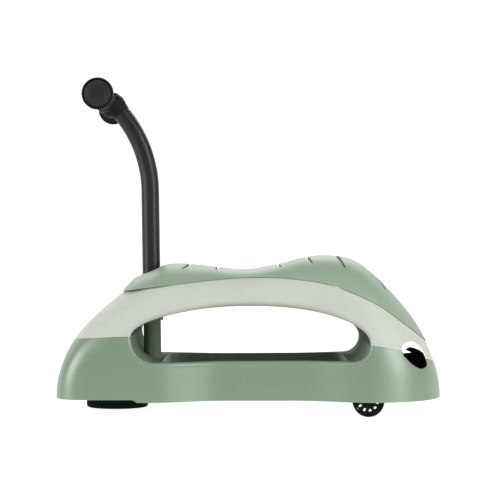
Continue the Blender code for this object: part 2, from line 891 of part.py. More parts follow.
def base_shell(walls, lining, material):
    base = copy_of(walls, "base_walls")
    lining_ends = body_form("lining_ends", body_crest, 0.0, -FAR / 4, RIM_RADIUS)
    scoops = keep_inside(copy_of(lining, "base_lining"), lining_ends)
    socket = cylinder("socket", COLUMN_RADIUS + GAP + SOCKET_WALL, SOCKET_BOTTOM, SOCKET_TOP)
    handle_place(socket)
    cut(socket, side_prism("opening_over_socket", opening_outline(LINING_SETBACK + WALL / 3)))
    keep_inside(socket, box("socket_foot", (-FAR, -FAR, rear_deck_z() + DECK_THICKNESS / 2), (FAR, FAR, FAR)))
    join(base, scoops)
    keep_inside(base, region_below("below_band", BAND_LINE, -GAP / 2))
    join(base, well())
    join(base, deck("front_deck", FRONT_DECK_Z, DECK_THICKNESS, WELL_FRONT_X + WALL / 2, FAR))
    join(base, deck("rear_deck", rear_deck_z(), DECK_THICKNESS, -FAR, WELL_REAR_X - 2 * WALL))
    join(base, socket)
    for name, y in (("bracket_left", bracket_y()), ("bracket_middle", 0.0), ("bracket_right", -bracket_y())):
        join(base, bracket(name, y))
    for index, (x, y, parting) in enumerate(body_screw_places()):
        deck_z = FRONT_DECK_Z if x > 0 else rear_deck_z()
        bottom = deck_z + DECK_THICKNESS / 2
        boss = cylinder(f"base_boss_{index}", BOSS_RADIUS, bottom, parting + WALL, SMALL_TURN_STEPS)
        boss.location = (x, y, 0.0)
        join(base, keep_inside(bake_place(boss), region_below(f"boss_below_{index}", BAND_LINE, -2 * GAP)))
    cut(base, well_space())
    hole_top = REAR_SPRING_Z + COLUMN_RADIUS - COLUMN_FOOT[1]
    cut(base, handle_place(cylinder("column_hole", COLUMN_RADIUS + GAP, 0.0, hole_top)))
    cut(base, along_y(cylinder("axle_hole", AXLE_RADIUS + GAP, -FAR / 3, FAR / 3), (AXLE_X, 0.0, WHEEL_RADIUS)))
    kingpin_hole = cylinder("kingpin_hole", KINGPIN_RADIUS + GAP, 0.0, rear_deck_z() + 2 * DECK_THICKNESS)
    kingpin_hole.location = (SWIVEL_X, 0.0, 0.0)
    cut(base, bake_place(kingpin_hole))
    half_slit = SLIT_WIDTH / 2
    slit_rear_x = -OPENING_HALF_LENGTH - LINING_SETBACK - 2 * WALL
    cut(base, box("slit", (slit_rear_x, -half_slit, SLIT_BOTTOM_Z), (COLUMN_FOOT[0], half_slit, ROOF_Z)))
    for index, (x, y, parting) in enumerate(body_screw_places()):
        deck_z = FRONT_DECK_Z if x > 0 else rear_deck_z()
        cut(base, screw_hole(f"body_screw_hole_{index}", x, y, deck_z, parting + WALL))
    step = (
        (-FAR, -FAR),
        (-FAR, REAR_SKIRT_Z),
        (SKIRT_STEP_X - SKIRT_STEP_LENGTH / 2, REAR_SKIRT_Z),
        (SKIRT_STEP_X + SKIRT_STEP_LENGTH / 2, SKIRT_Z - GAP),
        (SKIRT_STEP_X + SKIRT_STEP_LENGTH / 2, -FAR),
    )
    cut(base, side_prism("skirt_step", step))
    return part(base, material, "base_shell")


def band_shell(walls, material):
    band = copy_of(walls, "band_walls")
    ledge = body_form("ledge", body_crest, -WALL / 2)
    keep_inside(ledge, region_above("ledge_above", SEAT_LINE, -GAP / 2 - LEDGE_THICKNESS))
    cut(ledge, body_form("ledge_inside", body_crest, 0.0, -FAR / 4, WALL + LEDGE_WIDTH))
    join(band, ledge)
    for index, (x, y, parting) in enumerate(body_screw_places()):
        top = parting + 2 * SCREW_LENGTH
        boss = cylinder(f"band_boss_{index}", BOSS_RADIUS, parting - WALL, top, SMALL_TURN_STEPS)
        boss.location = (x, y, 0.0)
        keep_inside(bake_place(boss), body_form(f"boss_in_body_{index}", body_crest, -WALL / 2))
        join(band, boss)
    cut(band, handle_place(cylinder("column_space", COLUMN_RADIUS + 2 * GAP, 0.0, FAR)))
    keep_inside(band, region_above("above_base", BAND_LINE, GAP / 2))
    keep_inside(band, region_below("below_seat", SEAT_LINE, -GAP / 2))
    for index, (x, y, parting) in enumerate(body_screw_places()):
        pilot_top = parting + SCREW_LENGTH / 2 + SCREW_TIP_ROOM
        pilot = cylinder(f"band_pilot_{index}", SCREW_SHANK_RADIUS + GAP / 2, 0.0, pilot_top, SMALL_TURN_STEPS)
        pilot.location = (x, y, 0.0)
        cut(band, bake_place(pilot))
    return part(band, material, "band_shell")


def groove_outline(place, half_length, sweep, width):
    """A slim groove in plan, straight across the middle, with rounded ends that sweep along the body."""
    steps = 12
    ahead = []
    behind = []
    for i in range(steps + 1):
        share = math.sin(math.pi / 2 * (2 * i / steps - 1))
        centre = place * BODY_HALF_LENGTH / drawn_length() + sweep * abs(share) ** GROOVE_SWEEP_POWER
        half = width / 2 * max(1 - abs(share) ** GROOVE_END_POWER, 0.1) ** 0.5
        ahead.append((centre + half, half_length * share))
        behind.append((centre - half, half_length * share))
    return ahead + behind[::-1]


def seat(material):
    shell = body_form("seat_outside", seat_crest, SEAT_PROUD)
    cut(shell, body_form("seat_inside", seat_crest, SEAT_PROUD - SEAT_WALL, -FAR / 4))
    groove_floor = body_form("groove_floor", seat_crest, SEAT_PROUD - GROOVE_DEPTH)
    for index, groove in enumerate(GROOVES):
        cutter = plan_prism(f"groove_{index}", groove_outline(*groove), SKIRT_Z, FAR)
        cut(shell, cut(cutter, groove_floor))
    keep_inside(shell, region_above("above_band", SEAT_LINE, GAP / 2))
    over_liner = side_prism("seat_over_liner", opening_outline(LINING_SETBACK + WALL + GAP))
    for index, (x, y) in enumerate(seat_screw_places()):
        roof = roof_z(x)
        top = crown_z(x, y) - SEAT_WALL / 2
        boss = cylinder(f"seat_boss_{index}", BOSS_RADIUS, roof, top, SMALL_TURN_STEPS)
        boss.location = (x, y, 0.0)
        join(shell, cut(bake_place(boss), over_liner))
        pilot_top = roof + SCREW_LENGTH + SCREW_TIP_ROOM
        pilot = cylinder(f"seat_pilot_{index}", SCREW_SHANK_RADIUS + GAP / 2, 0.0, pilot_top, SMALL_TURN_STEPS)
        pilot.location = (x, y, 0.0)
        cut(shell, bake_place(pilot))
    cut(shell, handle_place(cylinder("tube_hole", TUBE_RADIUS + GAP, 0.0, FAR)))
    return part(shell, material, "seat")


def crown_z(x, y):
    """Height of the seat's crown over a place in plan."""
    power = section_power(x)
    return SKIRT_Z + (seat_crest(x) - SKIRT_Z) * (1 - (abs(y) / half_width(x)) ** power) ** (1 / power)


def seat_screw_places():
    return [(x, y) for x in (SEAT_SCREW_X, -SEAT_SCREW_X) for y in (SEAT_SCREW_Y, -SEAT_SCREW_Y)]


def roof_z(x):
    """Height of the opening's roof."""
    spring = FRONT_SPRING_Z if x > 0 else REAR_SPRING_Z
    power = FRONT_ROOF_POWER if x > 0 else REAR_ROOF_POWER
    return spring + (ROOF_Z - spring) * (1 - abs(x / OPENING_HALF_LENGTH) ** power) ** (1 / power)


def arch_liner(skin, lining, material):
    liner = keep_inside(copy_of(lining, "liner_ring"), region_above("liner_above", BAND_LINE, GAP / 2))
    keep_inside(liner, body_form("liner_ends", body_crest, 0.0, -FAR / 4, LINER_END_INSET))
    cut(liner, rim("left_rim_space", skin, 1, GAP), rim("right_rim_space", skin, -1, GAP))
    cut(liner, handle_place(cylinder("collar_hole", COLLAR_RADIUS + GAP, 0.0, FAR)))
    for index, (x, y) in enumerate(seat_screw_places()):
        top = ROOF_Z + SCREW_LENGTH
        hole = cylinder(f"liner_hole_{index}", SCREW_SHANK_RADIUS + GAP, 0.0, top, SMALL_TURN_STEPS)
        hole.location = (x, y, 0.0)
        cut(liner, bake_place(hole))
    return part(liner, material, "arch_liner")


def smooth_loop(points, steps):
    """A closed outline rounded between its points, with its sharp corners kept."""
    count = len(points)
    sharp = math.radians(65)

    def tangent(i):
        before, here, after = (Vector(points[j % count]) for j in (i - 1, i, i + 1))
        if (here - before).angle(after - here) > sharp:
            return Vector((0.0, 0.0))
        return (after - before) / 2

    loop = []
    for i in range(count):
        start, end = Vector(points[i]), Vector(points[(i + 1) % count])
        leave, arrive = tangent(i), tangent(i + 1)
        for step in range(steps):
            t = step / steps
            spot = start * (1 + 2 * t) * (1 - t) ** 2 + end * (3 - 2 * t) * t**2
            loop.append(spot + leave * t * (1 - t) ** 2 - arrive * (1 - t) * t**2)
    return [(spot.x, spot.y) for spot in loop]


def eye_outline(points):
    return smooth_loop([(EYE_CENTRE[0] + x, EYE_CENTRE[1] + z) for x, z in points], EYE_STEPS)


def eyes(white_material, black_material):
    """The eye on each side: a white shape and a black drop, laid on the body's skin."""
    white_outline = eye_outline(EYE_WHITE)
    drop_outline = eye_outline(EYE_DROP)
    skin = body_form("eye_skin", body_crest, GAP)
    for side, sign in (("left", 1), ("right", -1)):
        low = (0.0, 0.002 if sign > 0 else -FAR, 0.0)
        high = (FAR, FAR if sign > 0 else -0.002, FAR)
        half = box(f"eye_half_{side}", low, high)
        for kind, outline, thickness, material in (
            ("drop", drop_outline, 1.5 * EYE_THICKNESS, black_material),
            ("white", white_outline, EYE_THICKNESS, white_material),
        ):
            shape = keep_inside(side_prism(f"eye_{kind}_{side}_outline", outline), half)
            keep_inside(shape, body_form(f"eye_{kind}_{side}_face", body_crest, GAP + thickness))
            cut(shape, skin)
            if kind == "white":
                cut(shape, side_prism(f"eye_cut_{side}", drop_outline))
            part(shape, material, f"eye_{kind}_{side}")


# Handle


def handle_path(start, end_angle, steps=10):
    """The handle's centre line, from a distance up the column's axis to an angle round the bend."""
    path = []
    spigot_end = start + SPIGOT_LENGTH
    for distance in (start, spigot_end, spigot_end + SHOULDER_LENGTH, BEND_START):
        x, z = handle_point(distance)
        path.append((x, 0.0, z))
    bend_x, bend_z = handle_point(BEND_START)
    centre_x = bend_x - math.cos(HANDLE_LEAN) * BEND_RADIUS
    centre_z = bend_z - math.sin(HANDLE_LEAN) * BEND_RADIUS
    for i in range(1, steps + 1):
        angle = HANDLE_LEAN + end_angle * i / steps
        path.append((centre_x + BEND_RADIUS * math.cos(angle), 0.0, centre_z + BEND_RADIUS * math.sin(angle)))
    return path


def bar_centre():
    """The crossbar's middle, just beyond the end of the bent tube."""
    x, y, z = handle_path(0.0, BEND_ANGLE)[-1]
    return x + BAR_OFFSET[0], z + BAR_OFFSET[1]


def on_bar(obj, outward=1):
    x, z = bar_centre()
    return along_y(obj, (x, 0.0, z), outward)


def column(material):
    collar_end = COLLAR_START + COLLAR_LENGTH
    profile = (
        (COLUMN_BORE_RADIUS, COLUMN_LENGTH),
        (COLUMN_RADIUS, COLUMN_LENGTH),
        (COLUMN_RADIUS, collar_end),
        (COLLAR_RADIUS, collar_end),
        (COLLAR_RADIUS, COLLAR_START),
        (COLUMN_RADIUS, COLLAR_START),
        (COLUMN_RADIUS, GAP),
        (COLUMN_BORE_RADIUS, GAP),
    )
    return part(handle_place(turned("handle_column", profile, ring=True)), material)


def spigot_start():
    """Where the tube's narrowed end begins, up the column's axis, so that its shoulder rests on the column."""
    return COLUMN_LENGTH + GAP - SPIGOT_LENGTH


def handle_tube(material):
    path = handle_path(spigot_start(), BEND_ANGLE)
    narrow = SPIGOT_RADIUS / TUBE_RADIUS
    radii = [narrow, narrow] + [1.0] * (len(path) - 2)
    tube = swept("handle_tube", path, TUBE_RADIUS, TUBE_RESOLUTION, radii)
    bore_path = handle_path(spigot_start() - TUBE_WALL, BEND_ANGLE * 1.02)
    bore_path[1] = path[1]
    bore_path[2] = path[2]
    bore_radius = TUBE_RADIUS - TUBE_WALL
    narrow_bore = (SPIGOT_RADIUS - TUBE_WALL) / bore_radius
    bore_radii = [narrow_bore, narrow_bore] + [1.0] * (len(path) - 2)
    bore = swept("tube_bore", bore_path, bore_radius, TUBE_RESOLUTION - 1, bore_radii)
    return part(cut(tube, bore), material)


def tube_plug(material):
    """The moulded plug that closes the tube's lower end."""
    bore = SPIGOT_RADIUS - TUBE_WALL - 2 * GAP
    bottom = spigot_start()
    top = bottom + PLUG_LENGTH
    edge = 0.001
    profile = (
        (0.0, top),
        (bore - edge, top),
        (bore, top - edge),
        (bore, bottom - GAP),
        (SPIGOT_RADIUS, bottom - GAP),
        (SPIGOT_RADIUS - edge, bottom - PLUG_HEAD),
        (0.0, bottom - PLUG_HEAD),
    )
    return part(handle_place(turned("tube_plug", profile, SMALL_TURN_STEPS)), material)


def tee_hub(material):
    """The moulded junction that holds the bent tube and the crossbar."""
    end = HUB_HALF_LENGTH
    profile = [(0.0, end), (HUB_END_RADIUS, end)]
    steps = 7
    for i in range(1, steps):
        share = 1 - 2 * i / steps
        radius = HUB_RADIUS - (HUB_RADIUS - HUB_END_RADIUS) * share**4
        profile.append((radius, end * share))
    profile += [(HUB_END_RADIUS, -end), (0.0, -end)]
    hub = on_bar(turned("tee_hub", profile))
    neck_angle = NECK_LENGTH / BEND_RADIUS
    path = handle_path(0.0, BEND_ANGLE, NECK_PATH_STEPS)
    first = len(path) - 1 - math.ceil(neck_angle / BEND_ANGLE * NECK_PATH_STEPS)
    neck_path = path[first:]
    last, before = neck_path[-1], neck_path[-2]
    neck_path.append(tuple(a + (a - b) for a, b in zip(last, before)))
    count = len(neck_path)
    flare = NECK_FLARE_RADIUS / NECK_RADIUS - 1
    widths = [1 + flare * smooth_step(i / (count - 1)) for i in range(count)]
    widths[0] = NECK_LIP_RADIUS / NECK_RADIUS
    join(hub, swept("neck", neck_path, NECK_RADIUS, TUBE_RESOLUTION, widths))
    cut(hub, on_bar(cylinder("bar_space", BAR_TUBE_RADIUS + GAP, -FAR, FAR, TURN_STEPS - 1)))
    cut(hub, swept("tube_space", handle_path(0.0, BEND_ANGLE), TUBE_RADIUS + GAP, TUBE_RESOLUTION))
    return part(hub, material)


def crossbar(material):
    end = BAR_TUBE_HALF_LENGTH
    inner = BAR_TUBE_RADIUS - TUBE_WALL
    profile = ((inner, end), (BAR_TUBE_RADIUS, end), (BAR_TUBE_RADIUS, -end), (inner, -end))
    return part(on_bar(turned("crossbar_tube", profile, SMALL_TURN_STEPS + 4, ring=True)), material)


def grip(side, sign, material):
    """A grip with finger rings and an end flange, slid over the crossbar."""
    bore = BAR_TUBE_RADIUS + GAP
    start = HUB_HALF_LENGTH + GAP
    flange_start = GRIP_END_Y - GRIP_FLANGE_LENGTH
    seat_depth = BAR_TUBE_HALF_LENGTH + GAP
    edge = 0.0015
    outer = [(GRIP_RADIUS, start + edge), (GRIP_RADIUS - edge, start)]
    ring_start, ring_end = start + 0.012, flange_start - 0.010
    pitch = (ring_end - ring_start) / GRIP_RING_COUNT
    rings = []
    for i in range(GRIP_RING_COUNT):
        base = ring_end - pitch * (i + 0.15)
        rings.append((GRIP_RADIUS, base))
        rings.append((GRIP_RADIUS + GRIP_RING_HEIGHT, base - pitch * 0.2))
        rings.append((GRIP_RADIUS + GRIP_RING_HEIGHT, base - pitch * 0.5))
        rings.append((GRIP_RADIUS, base - pitch * 0.7))
    cap_seat = CAP_RADIUS + GAP
    profile = [
        (cap_seat, GRIP_END_Y - edge),
        (cap_seat + 0.0008, GRIP_END_Y),
        (GRIP_FLANGE_RADIUS - edge, GRIP_END_Y),
        (GRIP_FLANGE_RADIUS, GRIP_END_Y - edge),
        (GRIP_FLANGE_RADIUS, flange_start + edge),
        (GRIP_FLANGE_RADIUS - edge, flange_start),
        (GRIP_RADIUS + edge, flange_start - edge),
        (GRIP_RADIUS, flange_start - 2 * edge),
    ]
    profile += rings + outer
    profile += [(bore, start), (bore, seat_depth), (cap_seat, seat_depth)]
    return part(on_bar(turned(f"grip_{side}", profile, TURN_STEPS, ring=True), sign), material)


def grip_cap(side, sign, material):
    """The domed disc that closes a grip's end, with a spigot in the crossbar's bore."""
    seat_z = BAR_TUBE_HALF_LENGTH + 2 * GAP
    edge_z = GRIP_END_Y - 0.0008
    steps = 3
    profile = []
    for i in range(steps):
        share = i / steps
        profile.append((CAP_RADIUS * 0.96 * share, edge_z + CAP_DOME * (1 - share**2)))
    profile += [
        (CAP_RADIUS * 0.96, edge_z),
        (CAP_RADIUS, edge_z - 0.0010),
        (CAP_RADIUS, seat_z),
        (CAP_SPIGOT_RADIUS, seat_z),
        (CAP_SPIGOT_RADIUS, seat_z - CAP_SPIGOT_LENGTH),
        (0.0, seat_z - CAP_SPIGOT_LENGTH),
    ]
    return part(on_bar(turned(f"grip_cap_{side}", profile, TURN_STEPS), sign), material)


# Front wheels


def slot_outline(angle):
    """A round-ended slot that points away from the axle."""
    steps = 2
    half = SLOT_WIDTH / 2
    outline = []
    for centre, start in ((SLOT_OUTER_RADIUS - half, -90), (SLOT_INNER_RADIUS + half, 90)):
        for i in range(steps + 1):
            turn = math.radians(start + 180 * i / steps)
            radial = centre + half * math.cos(turn)
            across = half * math.sin(turn)
            x = radial * math.cos(angle) - across * math.sin(angle)
            y = radial * math.sin(angle) + across * math.cos(angle)
            outline.append((x, y))
    return outline


def front_wheel(side, sign, wheel_material, tyre_material):
    """A wheel with a slotted web near its outer face, an inner boss against the bracket, and a tread ring."""
    half = WHEEL_WIDTH / 2
    rim_radius = WHEEL_RADIUS - TYRE_THICKNESS - GAP
    rim_inside = SLOT_OUTER_RADIUS + 0.0004
    bore = AXLE_RADIUS + RUNNING_GAP
    edge = 0.0006
    profile = (
        (bore, half),
        (rim_radius - edge, half),
        (rim_radius, half - edge),
        (rim_radius, edge - half),
        (rim_radius - edge, -half),
        (rim_inside, -half),
        (rim_inside, half - WEB_THICKNESS),
        (WHEEL_HUB_RADIUS, half - WEB_THICKNESS),
        (WHEEL_HUB_RADIUS, -half - WHEEL_BOSS_LENGTH),
        (bore, -half - WHEEL_BOSS_LENGTH),
    )
    wheel = turned(f"front_wheel_{side}", profile, ring=True)
    for index in range(SLOT_COUNT):
        angle = FIRST_SLOT_ANGLE + 2 * math.pi * index / SLOT_COUNT
        cut(wheel, outline_solid(f"slot_{side}_{index}", slot_outline(angle), WHEEL_WIDTH))
    place = (AXLE_X, sign * WHEEL_CENTRE_Y, WHEEL_RADIUS)
    part(place_on_pivot(wheel, place, sign), wheel_material)
    crown = 0.0008
    tread_inner = WHEEL_RADIUS - TYRE_THICKNESS
    tread = (
        (tread_inner, half),
        (WHEEL_RADIUS - 2 * crown, half),
        (WHEEL_RADIUS, half * 0.7),
        (WHEEL_RADIUS, -half * 0.7),
        (WHEEL_RADIUS - 2 * crown, -half),
        (tread_inner, -half),
    )
    tyre = turned(f"front_tyre_{side}", tread, FINE_TURN_STEPS, ring=True)
    part(place_on_pivot(tyre, place, sign), tyre_material)


def place_on_pivot(obj, place, sign):
    """Keeps a wheel's origin on its own axle, with its outer face to the outside."""
    obj.rotation_euler = (-sign * math.pi / 2, 0.0, 0.0)
    obj.location = place
    return obj


def front_axle(material, cap_material):
    half = WHEEL_CENTRE_Y + WHEEL_WIDTH / 2 + 0.0030
    axle = cylinder("front_axle", AXLE_RADIUS, -half, half, SMALL_TURN_STEPS + 4)
    part(along_y(axle, (AXLE_X, 0.0, WHEEL_RADIUS)), material)
    inner = WHEEL_CENTRE_Y + WHEEL_WIDTH / 2 + RUNNING_GAP
    profile = (
        (0.0, half + 0.0016),
        (AXLE_CAP_RADIUS * 0.5, half + 0.0013),
        (AXLE_CAP_RADIUS * 0.9, half - 0.0002),
        (AXLE_CAP_RADIUS, inner),
        (AXLE_RADIUS + GAP / 2, inner),
        (AXLE_RADIUS + GAP / 2, half + GAP),
        (0.0, half + GAP),
    )
    for side, sign in (("left", 1), ("right", -1)):
        cap = turned(f"axle_cap_{side}", profile, SMALL_TURN_STEPS + 4)
        part(along_y(cap, (AXLE_X, 0.0, WHEEL_RADIUS), sign), cap_material)


# Swivel base


def pocket(name, low_x, high_x):
    reach = CASTER_RADIUS + POCKET_CLEARANCE
    low = (SWIVEL_X + low_x, CASTER_TRAIL - reach, -FAR)
    high = (SWIVEL_X + high_x, CASTER_TRAIL + reach, CASTER_RADIUS + reach)
    return box(name, low, high)


def turntable(material):
    """A round cup that hangs from the kingpin, with a housing in it for the two caster wheels."""
    top, bottom, edge = TURNTABLE_TOP_Z, TURNTABLE_BOTTOM_Z, TURNTABLE_EDGE
    inside = TURNTABLE_RADIUS - TURNTABLE_WALL
    bore = KINGPIN_RADIUS + RUNNING_GAP
    head_space = KINGPIN_HEAD_RADIUS + 2 * GAP
    head_top = KINGPIN_HEAD_Z + KINGPIN_HEAD_HEIGHT + GAP
    profile = [(bore, top), (SWIVEL_HUB_RADIUS, top), (SWIVEL_HUB_RADIUS, bottom + TURNTABLE_FLOOR)]
    profile += [(inside, bottom + TURNTABLE_FLOOR), (inside, top), (TURNTABLE_RADIUS, top)]
    steps = 3
    for i in range(steps + 1):
        angle = math.pi / 2 * i / steps
        radius = TURNTABLE_RADIUS - edge + edge * math.cos(angle)
        profile.append((radius, bottom + edge - edge * math.sin(angle)))
    profile += [(head_space, bottom), (head_space, head_top), (bore, head_top)]
    table = turned("turntable", profile, FINE_TURN_STEPS, ring=True)
    table.location = (SWIVEL_X, 0.0, 0.0)
    bake_place(table)
    inner_x = CASTER_WEB / 2
    outer_x = inner_x + CASTER_WIDTH + 2 * POCKET_CLEARANCE
    reach = CASTER_RADIUS + POCKET_CLEARANCE + 0.0025
    wall_x = outer_x + 0.0045
    low = (SWIVEL_X - wall_x, KINGPIN_HEAD_RADIUS + RUNNING_GAP + WALL / 3, bottom + TURNTABLE_FLOOR / 2)
    high = (SWIVEL_X + wall_x, FAR, CASTER_RADIUS + reach)
    housing = box("caster_housing", low, high)
    within = cylinder("housing_limit", TURNTABLE_RADIUS - TURNTABLE_WALL / 2, 0.0, FAR, FINE_TURN_STEPS)
    within.location = (SWIVEL_X, 0.0, 0.0)
    join(table, keep_inside(housing, bake_place(within)))
    cut(table, pocket("pocket_left", inner_x, outer_x), pocket("pocket_right", -outer_x, -inner_x))
    axle_end = outer_x + 0.0032
    steps = SMALL_TURN_STEPS + 4
    axle_space = cylinder("caster_axle_space", CASTER_AXLE_RADIUS + GAP, -axle_end, axle_end, steps)
    cut(table, along_x(axle_space, (SWIVEL_X, CASTER_TRAIL, CASTER_RADIUS)))
    half_throat = CASTER_AXLE_RADIUS * 0.9
    low = (SWIVEL_X - axle_end, CASTER_TRAIL - half_throat, -FAR)
    high = (SWIVEL_X + axle_end, CASTER_TRAIL + half_throat, CASTER_RADIUS)
    cut(table, box("axle_throat", low, high))
    part(table, material)
    axle = cylinder("caster_axle", CASTER_AXLE_RADIUS, GAP - axle_end, axle_end - GAP, steps)
    return along_x(axle, (SWIVEL_X, CASTER_TRAIL, CASTER_RADIUS))


def caster_wheel(name, sign, material):
    half = CASTER_WIDTH / 2
    edge = 0.0015
    bore = CASTER_AXLE_RADIUS + RUNNING_GAP
    profile = (
        (bore, half),
        (CASTER_RADIUS - edge, half),
        (CASTER_RADIUS, half - edge),
        (CASTER_RADIUS, edge - half),
        (CASTER_RADIUS - edge, -half),
        (bore, -half),
    )
    wheel = turned(name, profile, ring=True)
    wheel.rotation_euler = (0.0, sign * math.pi / 2, 0.0)
    across = CASTER_WEB / 2 + POCKET_CLEARANCE + half
    wheel.location = (SWIVEL_X + sign * across, CASTER_TRAIL, CASTER_RADIUS)
    return part(wheel, material)


def thrust_ring(material):
    outer = TURNTABLE_RADIUS - GAP
    inner = outer - THRUST_RING_WIDTH
    bottom = TURNTABLE_TOP_Z + GAP
    top = bottom + THRUST_RING_THICKNESS
    profile = ((inner, top), (outer, top), (outer, bottom), (inner, bottom))
    ring = turned("thrust_ring", profile, FINE_TURN_STEPS, ring=True)
    ring.location = (SWIVEL_X, 0.0, 0.0)
    return part(bake_place(ring), material)


def kingpin(material):
    deck_top = rear_deck_z() + DECK_THICKNESS
    washer_z = deck_top + GAP
    nut_z = washer_z + WASHER_THICKNESS + GAP
    top = nut_z + NUT_HEIGHT + 0.003
    head_top = KINGPIN_HEAD_Z + KINGPIN_HEAD_HEIGHT
    profile = (
        (0.0, top),
        (KINGPIN_RADIUS - 0.0008, top),
        (KINGPIN_RADIUS, top - 0.0010),
        (KINGPIN_RADIUS, head_top),
        (KINGPIN_HEAD_RADIUS, head_top),
        (KINGPIN_HEAD_RADIUS, KINGPIN_HEAD_Z),
        (0.0, KINGPIN_HEAD_Z),
    )
    bore = KINGPIN_RADIUS + GAP
    washer_top = washer_z + WASHER_THICKNESS
    washer = ((bore, washer_top), (WASHER_RADIUS, washer_top), (WASHER_RADIUS, washer_z), (bore, washer_z))
    nut_hole = polygon(bore, SMALL_TURN_STEPS + 4)
    pieces = (
        turned("kingpin", profile, SMALL_TURN_STEPS + 4),
        turned("kingpin_washer", washer, SMALL_TURN_STEPS + 4, ring=True),
        plan_prism("kingpin_nut", polygon(NUT_RADIUS, 6), nut_z, nut_z + NUT_HEIGHT, nut_hole),
    )
    for obj in pieces:
        obj.location = (SWIVEL_X, 0.0, 0.0)
        part(bake_place(obj), material)


# Screws


def screw_hole(name, x, y, deck_z, top):
    """A screw's way through a deck and up a boss, wide enough below the boss for its head."""
    hole = cylinder(name, SCREW_SHANK_RADIUS + GAP, 0.0, top, SMALL_TURN_STEPS)
    head_top = top - WALL - SCREW_LENGTH / 2
    head = cylinder(name + "_head", SCREW_HEAD_RADIUS + GAP, 0.0, head_top, SMALL_TURN_STEPS)
    join(hole, head)
    hole.location = (x, y, 0.0)
    return bake_place(hole)


def screw(name, x, y, seat_z, material):
    """A screw that points up, with its head's top face against a seat."""
    profile = (
        (0.0, seat_z + SCREW_LENGTH),
        (SCREW_SHANK_RADIUS * 0.6, seat_z + SCREW_LENGTH - 0.0010),
        (SCREW_SHANK_RADIUS, seat_z + SCREW_LENGTH - 0.0030),
        (SCREW_SHANK_RADIUS, seat_z - GAP),
        (SCREW_HEAD_RADIUS, seat_z - GAP),
        (SCREW_HEAD_RADIUS, seat_z - GAP - SCREW_HEAD_HEIGHT * 0.6),
        (SCREW_HEAD_RADIUS * 0.6, seat_z - GAP - SCREW_HEAD_HEIGHT),
        (0.0, seat_z - GAP - SCREW_HEAD_HEIGHT),
    )
    obj = turned(name, profile, SMALL_TURN_STEPS)
    obj.location = (x, y, 0.0)
    return part(bake_place(obj), material)


def screws(material):
    for index, (x, y) in enumerate(seat_screw_places()):
        head_edge_x = x + math.copysign(SCREW_HEAD_RADIUS, x)
        screw(f"seat_screw_{index + 1}", x, y, roof_z(head_edge_x) + LINING_SETBACK, material)
    for index, (x, y, parting) in enumerate(body_screw_places()):
        screw(f"body_screw_{index + 1}", x, y, parting - SCREW_LENGTH / 2, material)


def main():
    clear_scene()
    make_collection(PARTS)
    make_collection(CUTTERS)
    green = make_material("green_plastic", (0.27, 0.36, 0.26), 0.55)
    seat_green = make_material("seat_green_plastic", (0.33, 0.42, 0.31), 0.55)
    inner_green = make_material("inner_green_plastic", (0.16, 0.23, 0.16), 0.6)
    cream = make_material("cream_plastic", (0.62, 0.66, 0.58), 0.55)
    black = make_material("black_plastic", (0.012, 0.012, 0.012), 0.45)
    coated = make_material("black_coated_steel", (0.015, 0.015, 0.015), 0.4, 0.3)
    tread = make_material("black_tread", (0.006, 0.006, 0.006), 0.8)
    steel = make_material("zinc_steel", (0.55, 0.55, 0.55), 0.35, 1.0)
    white = make_material("eye_white", (0.9, 0.9, 0.88), 0.4)
    drop = make_material("eye_black", (0.005, 0.005, 0.005), 0.4)

    skin, walls = side_walls()
    lining = opening_lining()
    base_shell(walls, lining, green)
    band_shell(walls, cream)
    seat(seat_green)
    arch_liner(skin, lining, inner_green)
    eyes(white, drop)
    column(inner_green)
    handle_tube(coated)
    tube_plug(black)
    tee_hub(black)
    crossbar(coated)
    for side, sign in (("left", 1), ("right", -1)):
        grip(side, sign, black)
        grip_cap(side, sign, black)
        front_wheel(side, sign, black, tread)
    front_axle(steel, steel)
    part(turntable(black), steel)
    caster_wheel("caster_wheel_front", 1, tread)
    caster_wheel("caster_wheel_rear", -1, tread)
    thrust_ring(black)
    kingpin(steel)
    screws(steel)


main()
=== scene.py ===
"""The ride-on walker's looks: finer surfaces over the fixed frame, materials, stage, lights and camera."""

import json
import math

import bmesh
import bpy
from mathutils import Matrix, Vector
from mathutils.bvhtree import BVHTree

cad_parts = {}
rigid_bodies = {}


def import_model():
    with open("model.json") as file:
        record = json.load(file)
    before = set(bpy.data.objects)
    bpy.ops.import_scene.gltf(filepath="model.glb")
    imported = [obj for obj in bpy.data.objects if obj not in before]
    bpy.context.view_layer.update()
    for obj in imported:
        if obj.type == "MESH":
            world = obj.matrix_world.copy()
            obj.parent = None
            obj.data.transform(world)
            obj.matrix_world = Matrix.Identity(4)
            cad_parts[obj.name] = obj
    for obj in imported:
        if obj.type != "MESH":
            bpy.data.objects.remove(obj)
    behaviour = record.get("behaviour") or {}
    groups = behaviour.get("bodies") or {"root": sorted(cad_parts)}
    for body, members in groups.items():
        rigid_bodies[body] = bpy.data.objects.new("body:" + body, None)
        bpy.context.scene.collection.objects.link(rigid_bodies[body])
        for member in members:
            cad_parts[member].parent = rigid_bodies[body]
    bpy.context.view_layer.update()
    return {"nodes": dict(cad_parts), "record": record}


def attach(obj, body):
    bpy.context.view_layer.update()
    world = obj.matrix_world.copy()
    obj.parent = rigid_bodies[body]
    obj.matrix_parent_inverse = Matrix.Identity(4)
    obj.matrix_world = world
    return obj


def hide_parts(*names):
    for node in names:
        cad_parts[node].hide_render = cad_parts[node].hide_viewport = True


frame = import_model()

# Clearances
GAP = 0.0003
RUNNING_GAP = 0.0002

